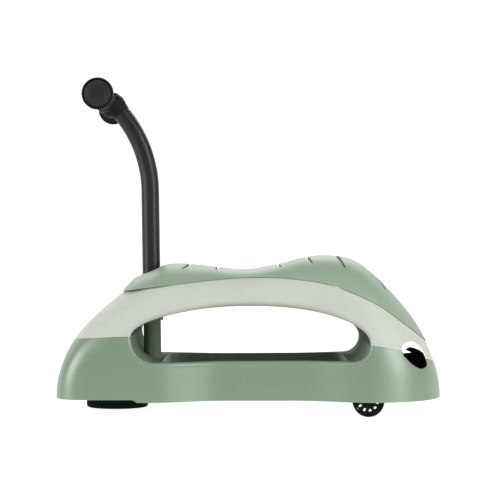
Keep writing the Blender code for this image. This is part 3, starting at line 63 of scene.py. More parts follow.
# Body: overall form
BODY_HALF_LENGTH = 0.2883
END_HALF_WIDTH = 0.146
REAR_CORNER_LENGTH = 0.094
REAR_CORNER_POWER = 5.0
NOSE_LENGTH = 0.1235
NOSE_POWER = 2.2
WAIST_CENTRE_X = 0.015
WAIST_DEPTH = 0.037
WAIST_FLAT_HALF = 0.050
WAIST_FADE = 0.115
SKIRT_Z = 0.0217
REAR_SKIRT_Z = 0.0256
SKIRT_STEP_X = 0.1213 - BODY_HALF_LENGTH
SKIRT_STEP_LENGTH = 0.007
SECTION_POWER = 3.6
NOSE_SECTION_POWER = 2.7
NOSE_BLEND_START_X = BODY_HALF_LENGTH - 0.1583
TIP_INSET = 0.0002
LEAST_SIZE = 0.0005
WALL = 0.003
RIM_RADIUS = 0.005
ARCH_RIM_RADIUS = 0.0090
RIM_PROUD = 0.00006

# Body: side view of the crown, of the seat's rear lip and of the two parting lines, as (x, z)
CREST = (
    (-0.2883, 0.030), (-0.2870, 0.048), (-0.2830, 0.066), (-0.2710, 0.097), (-0.2547, 0.122),
    (-0.2302, 0.148), (-0.1935, 0.1790), (-0.1660, 0.1985), (-0.1380, 0.2130), (-0.1120, 0.2220),
    (-0.0540, 0.2172), (-0.0129, 0.2130), (0.0452, 0.2216), (0.0758, 0.2299), (0.1095, 0.2347),
    (0.1370, 0.2330), (0.1600, 0.2250), (0.1829, 0.2080), (0.2135, 0.1781), (0.2441, 0.1414),
    (0.2640, 0.1085), (0.2747, 0.0832), (0.2824, 0.0618), (0.2870, 0.0358), (0.2883, 0.0243),
)
SEAT_REAR_CREST = (
    (-0.1935, 0.1797), (-0.1900, 0.1838), (-0.1863, 0.1887), (-0.1794, 0.1955), (-0.1725, 0.2016),
    (-0.1657, 0.2046), (-0.1480, 0.2111), (-0.1322, 0.2188), (-0.1244, 0.2210), (-0.1126, 0.2219),
)
SEAT_LINE = (
    (-0.4000, 0.1535), (-0.2500, 0.1740), (-0.1933, 0.1811), (-0.1515, 0.1865), (-0.0998, 0.1930),
    (-0.0440, 0.1990), (-0.0020, 0.2016), (0.0318, 0.2014), (0.0788, 0.1978), (0.1157, 0.1914),
    (0.1520, 0.1783), (0.1893, 0.1600), (0.2242, 0.1353), (0.2565, 0.1118), (0.3000, 0.0802),
    (0.4000, 0.0075),
)
BAND_LINE = (
    (-0.4000, 0.1010), (-0.3000, 0.1087), (-0.2572, 0.1122), (-0.2284, 0.1145), (-0.1740, 0.1170),
    (0.0000, 0.1105), (0.1740, 0.1042), (0.1948, 0.1012), (0.2172, 0.0960), (0.2620, 0.0812),
    (0.3000, 0.0672), (0.4000, 0.0300),
)
SEAT_PROUD = 0.0008
SEAT_WALL = 0.0060
SEAT_LINE_ROOM = 0.0003
LEDGE_WIDTH = 0.010
LEDGE_THICKNESS = 0.0030

# Opening through the body
OPENING_HALF_LENGTH = BODY_HALF_LENGTH - 0.1143
SILL_Z = 0.080
SILL_RISE = 0.0014
ROOF_Z = 0.160
REAR_SPRING_Z = 0.117
FRONT_SPRING_Z = 0.105
REAR_CORNER_RUN = 0.035
FRONT_CORNER_RUN = 0.026
REAR_ROOF_POWER = 2.0
FRONT_ROOF_POWER = 2.15
LINING_SETBACK = 0.0005
LINER_END_INSET = ARCH_RIM_RADIUS + 0.0020
WELL_REAR_X = 0.0440 - OPENING_HALF_LENGTH
WELL_FRONT_X = OPENING_HALF_LENGTH - 0.0300
WELL_FLOOR_Z = 0.048
WELL_POWER = 7.0
SLIT_WIDTH = 0.0024
SLIT_BOTTOM_Z = 0.089

# Seat grooves: place on the centre line, half length, how far the ends sweep along X, width, and for some
# the power of their sweep
GROOVES = (
    (-0.0919, 0.076, -0.0099, 0.0054),
    (-0.0486, 0.055, -0.0038, 0.0050),
    (-0.0044, 0.026, 0.0000, 0.0044),
    (0.0413, 0.056, 0.0038, 0.0050),
    (0.0856, 0.070, 0.0067, 0.0052),
    (0.1300, 0.094, 0.0102, 0.0054),
    (0.1862, 0.083, 0.0140, 0.0052, 2),
    (0.2352, 0.052, -0.0220, 0.0046, 2),
    (0.2458, 0.034, 0.0000, 0.0036),
)
GROOVE_DEPTH = 0.0042
GROOVE_SWEEP_POWER = 3.6
GROOVE_END_POWER = 8
GROOVE_END_SHARE = 0.1
GROOVE_STEPS = 40

# Eye on each side, as seen from the side: places about the eye's centre
EYE_CENTRE = (BODY_HALF_LENGTH - 0.0473, 0.0850)
EYE_WHITE = (
    (-0.0176, 0.0078), (-0.0202, 0.0100), (-0.0209, 0.0136), (-0.0197, 0.0176), (-0.0162, 0.0211),
    (-0.0096, 0.0234), (-0.0023, 0.0228), (0.0048, 0.0183), (0.0112, 0.0116), (0.0158, 0.0047),
    (0.0186, -0.0022), (0.0100, -0.0040), (-0.0060, 0.0000),
)
EYE_DROP = (
    (-0.0158, 0.0123), (-0.0124, 0.0147), (-0.0087, 0.0160), (-0.0050, 0.0154), (0.0000, 0.0140),
    (0.0050, 0.0119), (0.0095, 0.0094), (0.0130, 0.0065), (0.0158, 0.0023), (0.0180, -0.0047),
    (0.0191, -0.0095), (0.0186, -0.0127), (0.0162, -0.0149), (0.0119, -0.0161), (0.0068, -0.0155),
    (0.0003, -0.0124), (-0.0087, -0.0053), (-0.0152, 0.0017), (-0.0178, 0.0045), (-0.0180, 0.0074),
    (-0.0138, 0.0080), (-0.0059, 0.0080), (-0.0101, 0.0101),
)
EYE_THICKNESS = 0.0004
DROP_THICKNESS = 0.0006
EYE_INNER_Y = 0.002
EYE_SHARP_ANGLE = math.radians(65)

# Handle: column, bent tube and crossbar
HANDLE_LEAN = math.radians(0.85)
COLUMN_FOOT = (0.0249 - OPENING_HALF_LENGTH, 0.0500)
COLUMN_RADIUS = 0.01325
COLUMN_BORE_RADIUS = 0.0108
COLUMN_LENGTH = 0.1525
COLLAR_RADIUS = 0.0170
COLLAR_START = 0.0862
COLLAR_LENGTH = 0.0175
SOCKET_WALL = 0.0035
SOCKET_BOTTOM = -0.0120
SOCKET_TOP = 0.0400
TUBE_RADIUS = 0.0136
TUBE_WALL = 0.0015
BORE_OVERRUN = 1.02
SPIGOT_RADIUS = 0.0105
SPIGOT_LENGTH = COLUMN_LENGTH - 0.0125
SPIGOT_START = COLUMN_LENGTH + GAP - SPIGOT_LENGTH
SHOULDER_LENGTH = 0.002
BEND_START = 0.2835
BEND_RADIUS = 0.190
BEND_ANGLE = math.radians(43.0)
BAR_OFFSET = (-0.0151, 0.0069)
BAR_TUBE_RADIUS = 0.0110
BAR_TUBE_HALF_LENGTH = 0.138
HUB_RADIUS = 0.0168
HUB_HALF_LENGTH = 0.030
HUB_END_RADIUS = 0.0158
NECK_RADIUS = 0.0140
NECK_LENGTH = 0.013
NECK_FLARE_RADIUS = 0.0198
NECK_SHOULDER = (0.0090, 0.0290)
NECK_END_SHARE = 0.35
GRIP_RADIUS = 0.0145
GRIP_RING_HEIGHT = 0.0005
GRIP_RING_COUNT = 4
GRIP_RING_SHAPE = ((0.0, 0), (0.2, 1), (0.5, 1), (0.7, 0))
GRIP_RING_START = 0.15
GRIP_PLAIN_INNER = 0.012
GRIP_PLAIN_OUTER = 0.010
GRIP_EDGE = 0.0015
GRIP_END_Y = 0.1440
GRIP_FLANGE_RADIUS = 0.0232
GRIP_FLANGE_LENGTH = 0.0070
CAP_RADIUS = 0.0200
CAP_FACE_RADIUS = 0.0192
CAP_EDGE = 0.0010
CAP_DEPTH = 0.0008
CAP_DOME = 0.0035
CAP_SPIGOT_RADIUS = 0.0090
CAP_SPIGOT_LENGTH = 0.014

# Front wheels
AXLE_X = BODY_HALF_LENGTH - 0.1167
WHEEL_RADIUS = 0.02285
AXLE_RADIUS = 0.0040
WHEEL_CENTRE_Y = END_HALF_WIDTH - 0.0210
WHEEL_WIDTH = 0.020
TYRE_THICKNESS = 0.0036
WEB_THICKNESS = 0.0070
WHEEL_HUB_RADIUS = 0.0085
WHEEL_BOSS_LENGTH = 0.0105
SLOT_COUNT = 10
SLOT_INNER_RADIUS = 0.0108
SLOT_OUTER_RADIUS = 0.0162
SLOT_WIDTH = 0.0038
SLOT_MARGIN = 0.0004
WHEEL_EDGE = 0.0006
TREAD_CROWN = 0.0016
TREAD_FLAT_SHARE = 0.7
FIRST_SLOT_ANGLE = math.radians(27.4)
BRACKET_THICKNESS = 0.0040
BRACKET_HALF_WIDTH = 0.0115
BRACKET_Y = WHEEL_CENTRE_Y - WHEEL_WIDTH / 2 - WHEEL_BOSS_LENGTH - RUNNING_GAP - BRACKET_THICKNESS / 2
FRONT_DECK_Z = 0.055
DECK_THICKNESS = 0.004

# Swivel base and caster wheels
SWIVEL_X = 0.0850 - BODY_HALF_LENGTH
TURNTABLE_RADIUS = 0.0468
TURNTABLE_BOTTOM_Z = 0.0036
TURNTABLE_TOP_Z = 0.0368
TURNTABLE_EDGE = 0.0040
TURNTABLE_WALL = 0.0032
TURNTABLE_FLOOR = 0.0040
TURNTABLE_EDGE_STEPS = 3
SWIVEL_HUB_RADIUS = 0.0120
THRUST_RING_THICKNESS = 0.0027
REAR_DECK_Z = TURNTABLE_TOP_Z + THRUST_RING_THICKNESS + 2 * GAP
KINGPIN_RADIUS = 0.0040
KINGPIN_HEAD_RADIUS = 0.0070
KINGPIN_HEAD_HEIGHT = 0.0045
KINGPIN_HEAD_Z = 0.0085
CASTER_RADIUS = 0.0140
CASTER_WIDTH = 0.0095
CASTER_TRAIL = 0.026
CASTER_WEB = 0.0044
CASTER_AXLE_RADIUS = 0.0025
POCKET_CLEARANCE = 0.0011
HOUSING_ROOF = 0.0025
HOUSING_WALL = 0.0045
CASTER_AXLE_REACH = 0.0032
CASTER_EDGE = 0.0015
THROAT_SHARE = 0.9

# Screws
SCREW_HEAD_RADIUS = 0.0038
SCREW_HEAD_HEIGHT = 0.0011
SCREW_SHANK_RADIUS = 0.0018
SCREW_LENGTH = 0.016
SCREW_TIP_ROOM = 0.0012
SCREW_TIP_LENGTH = 0.0030
SCREW_TAPER = 0.6
BOSS_RADIUS = 0.0060
SEAT_SCREW_X = OPENING_HALF_LENGTH - 0.0990
SEAT_SCREW_Y = 0.040
BODY_SCREW_INSET = 0.0080
BODY_SCREW_FRONT_X = BODY_HALF_LENGTH - 0.0733
BODY_SCREW_REAR_X = 0.0833 - BODY_HALF_LENGTH

# Fineness
REAR_STEPS = 30
MIDDLE_STEPS = 66
NOSE_STEPS = 40
NOSE_CROWDING = 1.7
RING_STEPS = 84
LINE_STEPS = 120
ROOF_STEPS = 44
CORNER_STEPS = 16
SILL_STEPS = 32
RIM_RESOLUTION = 10
TURN_STEPS = 72
FINE_TURN_STEPS = 96
SMALL_TURN_STEPS = 32
TUBE_RESOLUTION = 20
BEND_STEPS = 40
NECK_STEPS = 10
HUB_STEPS = 25
CAP_STEPS = 12
SLOT_STEPS = 8
EYE_STEPS = 6
BRACKET_STEPS = 10
TOUCH_ROUNDS = 6
SLOPE_STEP = 0.0005

# Beyond the body on every side, and below its skirt
FAR = 0.400
DEEP_Z = -FAR / 4

# Points closer than this are merged, and slivers thinner than this are taken out
MERGE_DISTANCE = 0.00001
SLIVER = 0.000003

# Camera
CAMERA_PLACE = (-0.0007, -2.600, 0.2347)
CAMERA_LENS = 122.35
CAMERA_SENSOR = 36.0
CAMERA_SHIFT_Y = 0.011

# Surfaces: speckle, broad unevenness, moulded grain and rubbed edges
SPECKLE_SCALE = 400.0
CLOUD_SCALE = 14.0
GRAIN_SCALE = 1500.0
FINE_DETAIL = 2.0
CLOUD_DETAIL = 3.0
NOISE_SPAN = (0.3, 0.7)
CLOUD_SPAN = (0.35, 0.65)
CLOUD_SHARE = 0.30
EDGE_SPAN = (0.53, 0.62)
EDGE_SHARE = 0.35
WORN_SCALE = 1.25
WORN_LIFT = 0.02
SMOOTHER = 0.04
ROUGHER = 0.05
BUMP_STRENGTH = 0.35
UPRIGHT_LIMIT = 0.5
LOOK_SHARP_ANGLE = math.radians(32)
NODE_SHARP_ANGLE = math.radians(35)

# Stage, and the soft lights: place, target, size and power
FLOOR_NEAR_Y = -6.0
FLOOR_FAR_Y = 3.0
BACKDROP_RADIUS = 1.5
BACKDROP_TOP_Z = 6.0
STAGE_HALF_WIDTH = 7.0
BACKDROP_STEPS = 10
FLOOR_TONE = 0.25
FLOOR_GLOW = 0.95
STUDIO_GLOW = 0.40
LIGHTS = {
    "left": ((-2.25, -0.90, 0.9), (-0.15, 0.0, 0.12), (1.5, 1.8), 50.0),
    "right": ((1.94, -1.41, 0.9), (0.15, 0.0, 0.12), (1.1, 1.8), 52.0),
    "top": ((0.0, 1.8, 1.7), (0.0, 0.0, 0.1), (2.4, 1.0), 28.0),
    "front": ((0.0, -1.5, 2.3), (0.0, 0.0, 0.1), (2.0, 1.4), 14.0),
}

MAKING = "making_"


# Shape tools


def linked(name, data):
    """A new object in the scene."""
    obj = bpy.data.objects.new(name, data)
    bpy.context.scene.collection.objects.link(obj)
    return obj


def new_object(name, mesh):
    """A helper shape, hidden until it becomes a piece."""
    obj = linked(MAKING + name.removeprefix(MAKING), mesh)
    obj.hide_render = True
    return obj


def part(obj, look, name=None):
    """Makes a finished shape the visible piece that stands for the frame's node of that name."""
    material, slot = look
    name = name or obj.name.removeprefix(MAKING)
    obj.name = name + "_look"
    obj.hide_render = False
    obj.data.materials.clear()
    obj.data.materials.append(material)
    obj.data.shade_smooth()
    obj.data.set_sharp_from_angle(angle=LOOK_SHARP_ANGLE)
    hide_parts(name)
    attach(obj, BODY_OF[name])
    return obj


def apply_modifiers(obj):
    graph = bpy.context.evaluated_depsgraph_get()
    mesh = bpy.data.meshes.new_from_object(obj.evaluated_get(graph))
    obj.modifiers.clear()
    obj.data = mesh
    return obj


def boolean(target, cutter, operation):
    modifier = target.modifiers.new(operation.title(), "BOOLEAN")
    modifier.operation = operation
    modifier.object = cutter
    return weld(apply_modifiers(target))


def mesh_of(obj):
    bm = bmesh.new()
    bm.from_mesh(obj.data)
    return bm


def write_back(obj, bm):
    bm.to_mesh(obj.data)
    bm.free()
    return obj


def weld(obj):
    """Takes out the slivers that a cut leaves where two surfaces cross at a shallow angle."""
    bm = mesh_of(obj)
    bmesh.ops.remove_doubles(bm, verts=bm.verts, dist=SLIVER)
    bmesh.ops.dissolve_degenerate(bm, edges=bm.edges, dist=SLIVER)
    return write_back(obj, bm)


def cut(target, *cutters):
    for cutter in cutters:
        boolean(target, cutter, "DIFFERENCE")
    return target


def join(target, *others):
    for other in others:
        boolean(target, other, "UNION")
    return target


def keep_inside(target, *others):
    for other in others:
        boolean(target, other, "INTERSECT")
    return target


def copy_of(obj, name):
    return new_object(name, obj.data.copy())


def mesh_from(name, bm):
    bmesh.ops.recalc_face_normals(bm, faces=bm.faces)
    mesh = bpy.data.meshes.new(name)
    bm.to_mesh(mesh)
    bm.free()
    return new_object(name, mesh)


def box(name, low, high):
    bm = bmesh.new()
    bmesh.ops.create_cube(bm, size=1.0)
    for vertex in bm.verts:
        for axis in range(3):
            vertex.co[axis] = high[axis] if vertex.co[axis] > 0 else low[axis]
    return mesh_from(name, bm)


def turned(name, profile, steps=TURN_STEPS, ring=False):
    """A profile of (radius, height) points that runs down its outer side, turned about Z. A ring closes."""
    bm = bmesh.new()
    points = [bm.verts.new((radius, 0.0, height)) for radius, height in profile]
    for first, second in zip(points, points[1:]):
        bm.edges.new((first, second))
    if ring:
        bm.edges.new((points[-1], points[0]))
    mesh = bpy.data.meshes.new(name)
    bm.to_mesh(mesh)
    bm.free()
    obj = new_object(name, mesh)
    screw = obj.modifiers.new("Turn", "SCREW")
    screw.steps = steps
    screw.render_steps = steps
    screw.use_merge_vertices = True
    screw.merge_threshold = MERGE_DISTANCE
    apply_modifiers(obj)
    bm = mesh_of(obj)
    bmesh.ops.recalc_face_normals(bm, faces=bm.faces)
    return write_back(obj, bm)


def cylinder(name, radius, bottom, top, steps=TURN_STEPS):
    return turned(name, ((0.0, top), (radius, top), (radius, bottom), (0.0, bottom)), steps)


def placed(obj, location=(0.0, 0.0, 0.0), rotation=(0.0, 0.0, 0.0)):
    """Turns and places an object and bakes that into its mesh, so that it can be cut in world places."""
    obj.location = location
    obj.rotation_euler = rotation
    bpy.context.view_layer.update()
    obj.data.transform(obj.matrix_world)
    obj.location = (0.0, 0.0, 0.0)
    obj.rotation_euler = (0.0, 0.0, 0.0)
    return obj


def along_y(obj, location, outward=1):
    """Turns the object's +Z to +Y, or to -Y, and places it."""
    return placed(obj, location, (-outward * math.pi / 2, 0.0, 0.0))


def along_x(obj, location, outward=1):
    """Turns the object's +Z to +X, or to -X, and places it."""
    return placed(obj, location, (0.0, outward * math.pi / 2, 0.0))


def post(name, radius, bottom, top, x, y, steps=SMALL_TURN_STEPS):
    """A cylinder that stands upright at a place in plan."""
    return placed(cylinder(name, radius, bottom, top, steps), (x, y, 0.0))


def curve_to_mesh(curve):
    graph = bpy.context.evaluated_depsgraph_get()
    mesh = bpy.data.meshes.new_from_object(curve.evaluated_get(graph))
    name = curve.name
    bpy.data.objects.remove(curve)
    bm = bmesh.new()
    bm.from_mesh(mesh)
    bmesh.ops.remove_doubles(bm, verts=bm.verts, dist=MERGE_DISTANCE)
    return mesh_from(name, bm)


def add_spline(data, points, cyclic, radii=None):
    spline = data.splines.new("POLY")
    spline.points.add(len(points) - 1)
    for index, (spot, point) in enumerate(zip(spline.points, points)):
        spot.co = (*point, 1.0)
        spot.radius = radii[index] if radii else 1.0
    spline.use_cyclic_u = cyclic


def new_curve(name, points, dimensions, cyclic, radii=None):
    data = bpy.data.curves.new(name, "CURVE")
    data.dimensions = dimensions
    add_spline(data, points, cyclic, radii)
    return data


def outline_solid(name, outline, half_thickness, hole=None):
    """A flat closed outline in the XY plane, given thickness along Z, with a hole if it has one."""
    data = new_curve(name, [(x, y, 0.0) for x, y in outline], "2D", True)
    if hole:
        add_spline(data, [(x, y, 0.0) for x, y in hole], True)
    data.fill_mode = "BOTH"
    data.extrude = half_thickness
    return curve_to_mesh(new_object(name, data))


def side_prism(name, outline, half_width=FAR, hole=None):
    """An outline of (x, z) points, run across the body along Y."""
    return placed(outline_solid(name, outline, half_width, hole), rotation=(math.pi / 2, 0.0, 0.0))


def plan_prism(name, outline, bottom, top):
    """An outline of (x, y) points, run upwards along Z."""
    return placed(outline_solid(name, outline, (top - bottom) / 2), (0.0, 0.0, (top + bottom) / 2))


def swept(name, path, radius, resolution, radii=None, cyclic=False):
    """A round tube along a path, with its thickness at each point as a share of the radius."""
    data = new_curve(name, path, "3D", cyclic, radii)
    data.bevel_depth = radius
    data.bevel_resolution = resolution
    data.use_fill_caps = not cyclic
    return curve_to_mesh(new_object(name, data))


def smooth_value(points, x):
    """A smooth curve through the points, read at x, with no overshoot between them."""
    if x <= points[0][0]:
        return points[0][1]
    if x >= points[-1][0]:
        return points[-1][1]
    index = max(i for i, point in enumerate(points) if point[0] <= x)
    slopes = [(b[1] - a[1]) / (b[0] - a[0]) for a, b in zip(points, points[1:])]

    def tangent(i):
        if i == 0:
            return slopes[0]
        if i == len(points) - 1:
            return slopes[-1]
        before, after = slopes[i - 1], slopes[i]
        if before * after <= 0:
            return 0.0
        return 2 * before * after / (before + after)

    (x0, y0), (x1, y1) = points[index], points[index + 1]
    run = x1 - x0
    t = (x - x0) / run
    start = y0 * (1 + 2 * t) + tangent(index) * run * t
    end = y1 * (3 - 2 * t) - tangent(index + 1) * run * (1 - t)
    return start * (1 - t) ** 2 + end * t**2


# Body


def smooth_step(t):
    """A share from 0 to 1 with soft ends."""
    t = min(max(t, 0.0), 1.0)
    return t * t * (3 - 2 * t)


def half_width(x):
    """Half the body's width at the skirt."""
    x = min(max(x, -BODY_HALF_LENGTH), BODY_HALF_LENGTH)
    waist = 1 - smooth_step((abs(x - WAIST_CENTRE_X) - WAIST_FLAT_HALF) / WAIST_FADE)
    width = END_HALF_WIDTH - WAIST_DEPTH * waist
    rear = (REAR_CORNER_LENGTH - BODY_HALF_LENGTH - x) / REAR_CORNER_LENGTH
    nose = (x - BODY_HALF_LENGTH + NOSE_LENGTH) / NOSE_LENGTH
    if rear > 0:
        width *= max(1 - rear**REAR_CORNER_POWER, 0.0) ** (1 / REAR_CORNER_POWER)
    if nose > 0:
        width *= max(1 - nose**NOSE_POWER, 0.0) ** (1 / NOSE_POWER)
    return width


def body_crest(x):
    return smooth_value(CREST, x)


def seat_crest(x):
    if SEAT_REAR_CREST[0][0] < x < SEAT_REAR_CREST[-1][0]:
        return max(smooth_value(SEAT_REAR_CREST, x), body_crest(x))
    return body_crest(x)


def section_power(x):
    nose = smooth_step((x - NOSE_BLEND_START_X) / (BODY_HALF_LENGTH - NOSE_BLEND_START_X))
    return SECTION_POWER + (NOSE_SECTION_POWER - SECTION_POWER) * nose


def flank_y(x, z):
    """How far out the body's side is, at a place in the side view."""
    power = section_power(x)
    share = min(max((z - SKIRT_Z) / (body_crest(x) - SKIRT_Z), 0.0), 1.0)
    return half_width(x) * (1 - share**power) ** (1 / power)


def stations():
    """Places along X for the body's sections, closer together towards its ends."""
    rear_join = REAR_CORNER_LENGTH - BODY_HALF_LENGTH
    nose_join = BODY_HALF_LENGTH - NOSE_LENGTH
    places = [-BODY_HALF_LENGTH + REAR_CORNER_LENGTH * (i / REAR_STEPS) ** 2 for i in range(REAR_STEPS)]
    places += [rear_join + (nose_join - rear_join) * i / MIDDLE_STEPS for i in range(MIDDLE_STEPS)]
    for i in range(NOSE_STEPS + 1):
        places.append(nose_join + NOSE_LENGTH * (1 - (1 - i / NOSE_STEPS) ** NOSE_CROWDING))
    return places


def body_form(name, crest, offset=0.0, floor=SKIRT_Z, inset=0.0):
    """The body as a solid loft of arched sections.

    An offset moves its surface square to itself. An inset brings each section in, and suits deep steps."""
    shrink = 1 - inset / BODY_HALF_LENGTH
    bm = bmesh.new()
    rings = []
    for x in stations():
        inner_x = min(max(x, TIP_INSET - BODY_HALF_LENGTH), BODY_HALF_LENGTH - TIP_INSET)
        width = max(half_width(inner_x) - inset, LEAST_SIZE)
        height = max(crest(x) - SKIRT_Z - inset, LEAST_SIZE)
        share = 2 / section_power(x)
        ring = []
        for step in range(RING_STEPS + 1):
            angle = math.pi * step / RING_STEPS
            across = math.copysign(abs(math.cos(angle)) ** share, math.cos(angle))
            up = 0.0 if step in (0, RING_STEPS) else math.sin(angle) ** share
            ring.append(bm.verts.new((x * shrink, width * across, SKIRT_Z + height * up)))
        rings.append(ring)
    for behind, ahead in zip(rings, rings[1:]):
        for step in range(RING_STEPS):
            bm.faces.new((behind[step], ahead[step], ahead[step + 1], behind[step + 1]))
    bm.faces.new(rings[0])
    bm.faces.new(rings[-1])
    bmesh.ops.recalc_face_normals(bm, faces=bm.faces)
    bm.normal_update()
    if bm.faces[0].normal.y * rings[0][0].co.y < 0:
        bmesh.ops.reverse_faces(bm, faces=bm.faces)
        bm.normal_update()
    shifts = [(vertex, vertex.normal * offset) for vertex in bm.verts]
    for vertex, shift in shifts:
        vertex.co += shift
    for ring in rings:
        ring[0].co.z = floor
        ring[-1].co.z = floor
    for behind, ahead in zip(rings, rings[1:]):
        bm.faces.new((behind[0], behind[-1], ahead[-1], ahead[0]))
    return mesh_from(name, bm)


def line_points(line, shift=0.0):
    """A parting line as points, moved up or down by a shift."""
    start, end = line[1][0], line[-2][0]
    places = [start + (end - start) * i / LINE_STEPS for i in range(LINE_STEPS + 1)]
    return [(x, smooth_value(line, x) + shift) for x in [line[0][0], *places, line[-1][0]]]


def region_above(name, line, shift=0.0, end_z=FAR):
    points = line_points(line, shift)
    return side_prism(name, points + [(points[-1][0], end_z), (points[0][0], end_z)])


def region_below(name, line, shift=0.0):
    return region_above(name, line, shift, -FAR)


def opening_points(grow):
    """The opening in the side view, as (x, z, share of the arch): rounded quarters and a nearly level sill.

    Each point is grown outwards by a distance that grow works out from its share of the arch."""
    points = []

    def quarter(centre_x, centre_z, run, rise, start, steps, power=2.0, arch=0.0):
        for i in range(steps):
            angle = math.radians(start) + math.pi / 2 * i / steps
            cosine = round(math.cos(angle), 9)
            sine = round(math.sin(angle), 9)
            share = arch * abs(sine)
            across = math.copysign(abs(cosine) ** (2 / power), cosine)
            up = math.copysign(abs(sine) ** (2 / power), sine)
            x = centre_x + (run + grow(share)) * across
            z = centre_z + (rise + grow(share)) * up
            points.append((x, z, share))

    length = OPENING_HALF_LENGTH
    rear_sill = SILL_Z - SILL_RISE / 2
    front_sill = SILL_Z + SILL_RISE / 2
    quarter(0.0, FRONT_SPRING_Z, length, ROOF_Z - FRONT_SPRING_Z, 0, ROOF_STEPS, FRONT_ROOF_POWER, 1.0)
    quarter(0.0, REAR_SPRING_Z, length, ROOF_Z - REAR_SPRING_Z, 90, ROOF_STEPS, REAR_ROOF_POWER, 1.0)
    rear_x = REAR_CORNER_RUN - length
    quarter(rear_x, REAR_SPRING_Z, REAR_CORNER_RUN, REAR_SPRING_Z - rear_sill, 180, CORNER_STEPS)
    front_x = length - FRONT_CORNER_RUN
    for i in range(SILL_STEPS):
        along = i / SILL_STEPS
        sill = rear_sill + (front_sill - rear_sill) * along
        points.append((rear_x + (front_x - rear_x) * along, sill - grow(0.0), 0.0))
    quarter(front_x, FRONT_SPRING_Z, FRONT_CORNER_RUN, FRONT_SPRING_Z - front_sill, 270, CORNER_STEPS)
    return points


def opening_outline(grow=0.0):
    return [(x, z) for x, z, share in opening_points(lambda share: grow)]


def rim_radius(share):
    """The rim is small along the sill and fuller along the arch."""
    return RIM_RADIUS + (ARCH_RIM_RADIUS - RIM_RADIUS) * smooth_step(share)


def flank_normal(x, z):
    """Which way the left flank faces."""
    step = SLOPE_STEP
    slope_x = (flank_y(x + step, z) - flank_y(x - step, z)) / (2 * step)
    slope_z = (flank_y(x, z + step) - flank_y(x, z - step)) / (2 * step)
    return Vector((-slope_x, 1.0, -slope_z)).normalized()


def rim_places():
    """Along the opening's rim: the bead's middle and where it touches the body's wall, in the side view."""
    places = []
    for x, z, share in opening_points(rim_radius):
        radius = rim_radius(share)
        normal = Vector((0.0, 1.0, 0.0))
        for _ in range(TOUCH_ROUNDS):
            touch_x, touch_z = x + normal.x * radius, z + normal.z * radius
            normal = flank_normal(touch_x, touch_z)
        places.append((touch_x, touch_z, radius, normal))
    return places


def rim(name, skin, side, grow=0.0):
    """The opening's rounded rim on one side: a bead that runs all the way round, in the body's wall."""
    tree = BVHTree.FromObject(skin, bpy.context.evaluated_depsgraph_get())
    flat_share = math.cos(math.pi / (2 * RIM_RESOLUTION + 4))
    path = []
    radii = []
    for x, z, radius, normal in rim_places():
        touch = tree.ray_cast(Vector((x, side * FAR, z)), Vector((0.0, -side, 0.0)))[0]
        inward = Vector((-normal.x, -side * normal.y, -normal.z))
        path.append(touch + inward * (radius * flat_share - RIM_PROUD))
        radii.append((radius + grow) / RIM_RADIUS)
    return swept(name, path, RIM_RADIUS, RIM_RESOLUTION, radii, cyclic=True)


def side_walls():
    """The wall of the whole body, cut out for the opening and finished with its rounded rims."""
    skin = body_form("skin", body_crest)
    walls = copy_of(skin, "walls")
    cut(walls, body_form("wall_inside", body_crest, -WALL, DEEP_Z))
    cut(walls, side_prism("opening_in_walls", [(x, z) for x, z, radius, normal in rim_places()]))
    join(walls, rim("rim_left", skin, 1), rim("rim_right", skin, -1))
    return skin, walls


def opening_lining():
    """A thin lining all round the opening, from one side to the other."""
    outside = opening_outline(LINING_SETBACK + WALL)
    return side_prism("lining", outside, FAR / 2, opening_outline(LINING_SETBACK))


def handle_place(obj, distance=0.0):
    """Places an object on the handle's leaning axis, a distance up from the column's foot."""
    x, z = handle_point(distance)
    return placed(obj, (x, 0.0, z), (0.0, -HANDLE_LEAN, 0.0))


def handle_point(distance):
    x = COLUMN_FOOT[0] - math.sin(HANDLE_LEAN) * distance
    return x, COLUMN_FOOT[1] + math.cos(HANDLE_LEAN) * distance


def well_outline(grow=0.0):
    """The well in plan: it follows the rails, with rounded ends."""
    steps = 2 * ROOF_STEPS
    middle = (WELL_FRONT_X + WELL_REAR_X) / 2
    half = (WELL_FRONT_X - WELL_REAR_X) / 2
    share = 2 / WELL_POWER
    points = []
    for i in range(2 * steps):
        angle = math.pi * (i + 0.5) / steps
        x = middle + math.copysign(abs(math.cos(angle)) ** share * (half + grow), math.cos(angle))
        rail = flank_y(x, SILL_Z) - 2 * RIM_RADIUS + grow
        points.append((x, math.copysign(abs(math.sin(angle)) ** share * rail, math.sin(angle))))
    return points


def well():
    """The recess between the rails, under the opening's sill."""
    top = SILL_Z - SILL_RISE / 2 - LINING_SETBACK - WALL / 2
    return plan_prism("well", well_outline(WALL), WELL_FLOOR_Z - WALL, top)


def well_space():
    return plan_prism("well_space", well_outline(), WELL_FLOOR_Z, SILL_Z + WALL)


def deck(name, bottom, thickness, low_x, high_x):
    """A level web across the inside of the base."""
    web = body_form(name, body_crest, -WALL / 2, DEEP_Z)
    return keep_inside(web, box(name + "_box", (low_x, -FAR, bottom), (high_x, FAR, bottom + thickness)))


def body_screw_places():
    """(x, y, parting height) of the screws that close the base against the band, square to its wall."""
    places = []
    for wall_x in (BODY_SCREW_FRONT_X, BODY_SCREW_REAR_X):
        height = smooth_value(BAND_LINE, wall_x)
        slope = (flank_y(wall_x + WALL, height) - flank_y(wall_x - WALL, height)) / (2 * WALL)
        square = math.hypot(1.0, slope)
        x = wall_x + BODY_SCREW_INSET * slope / square
        y = flank_y(wall_x, height) - BODY_SCREW_INSET / square
        for side in (1, -1):
            places.append((x, side * y, smooth_value(BAND_LINE, x)))
    return places


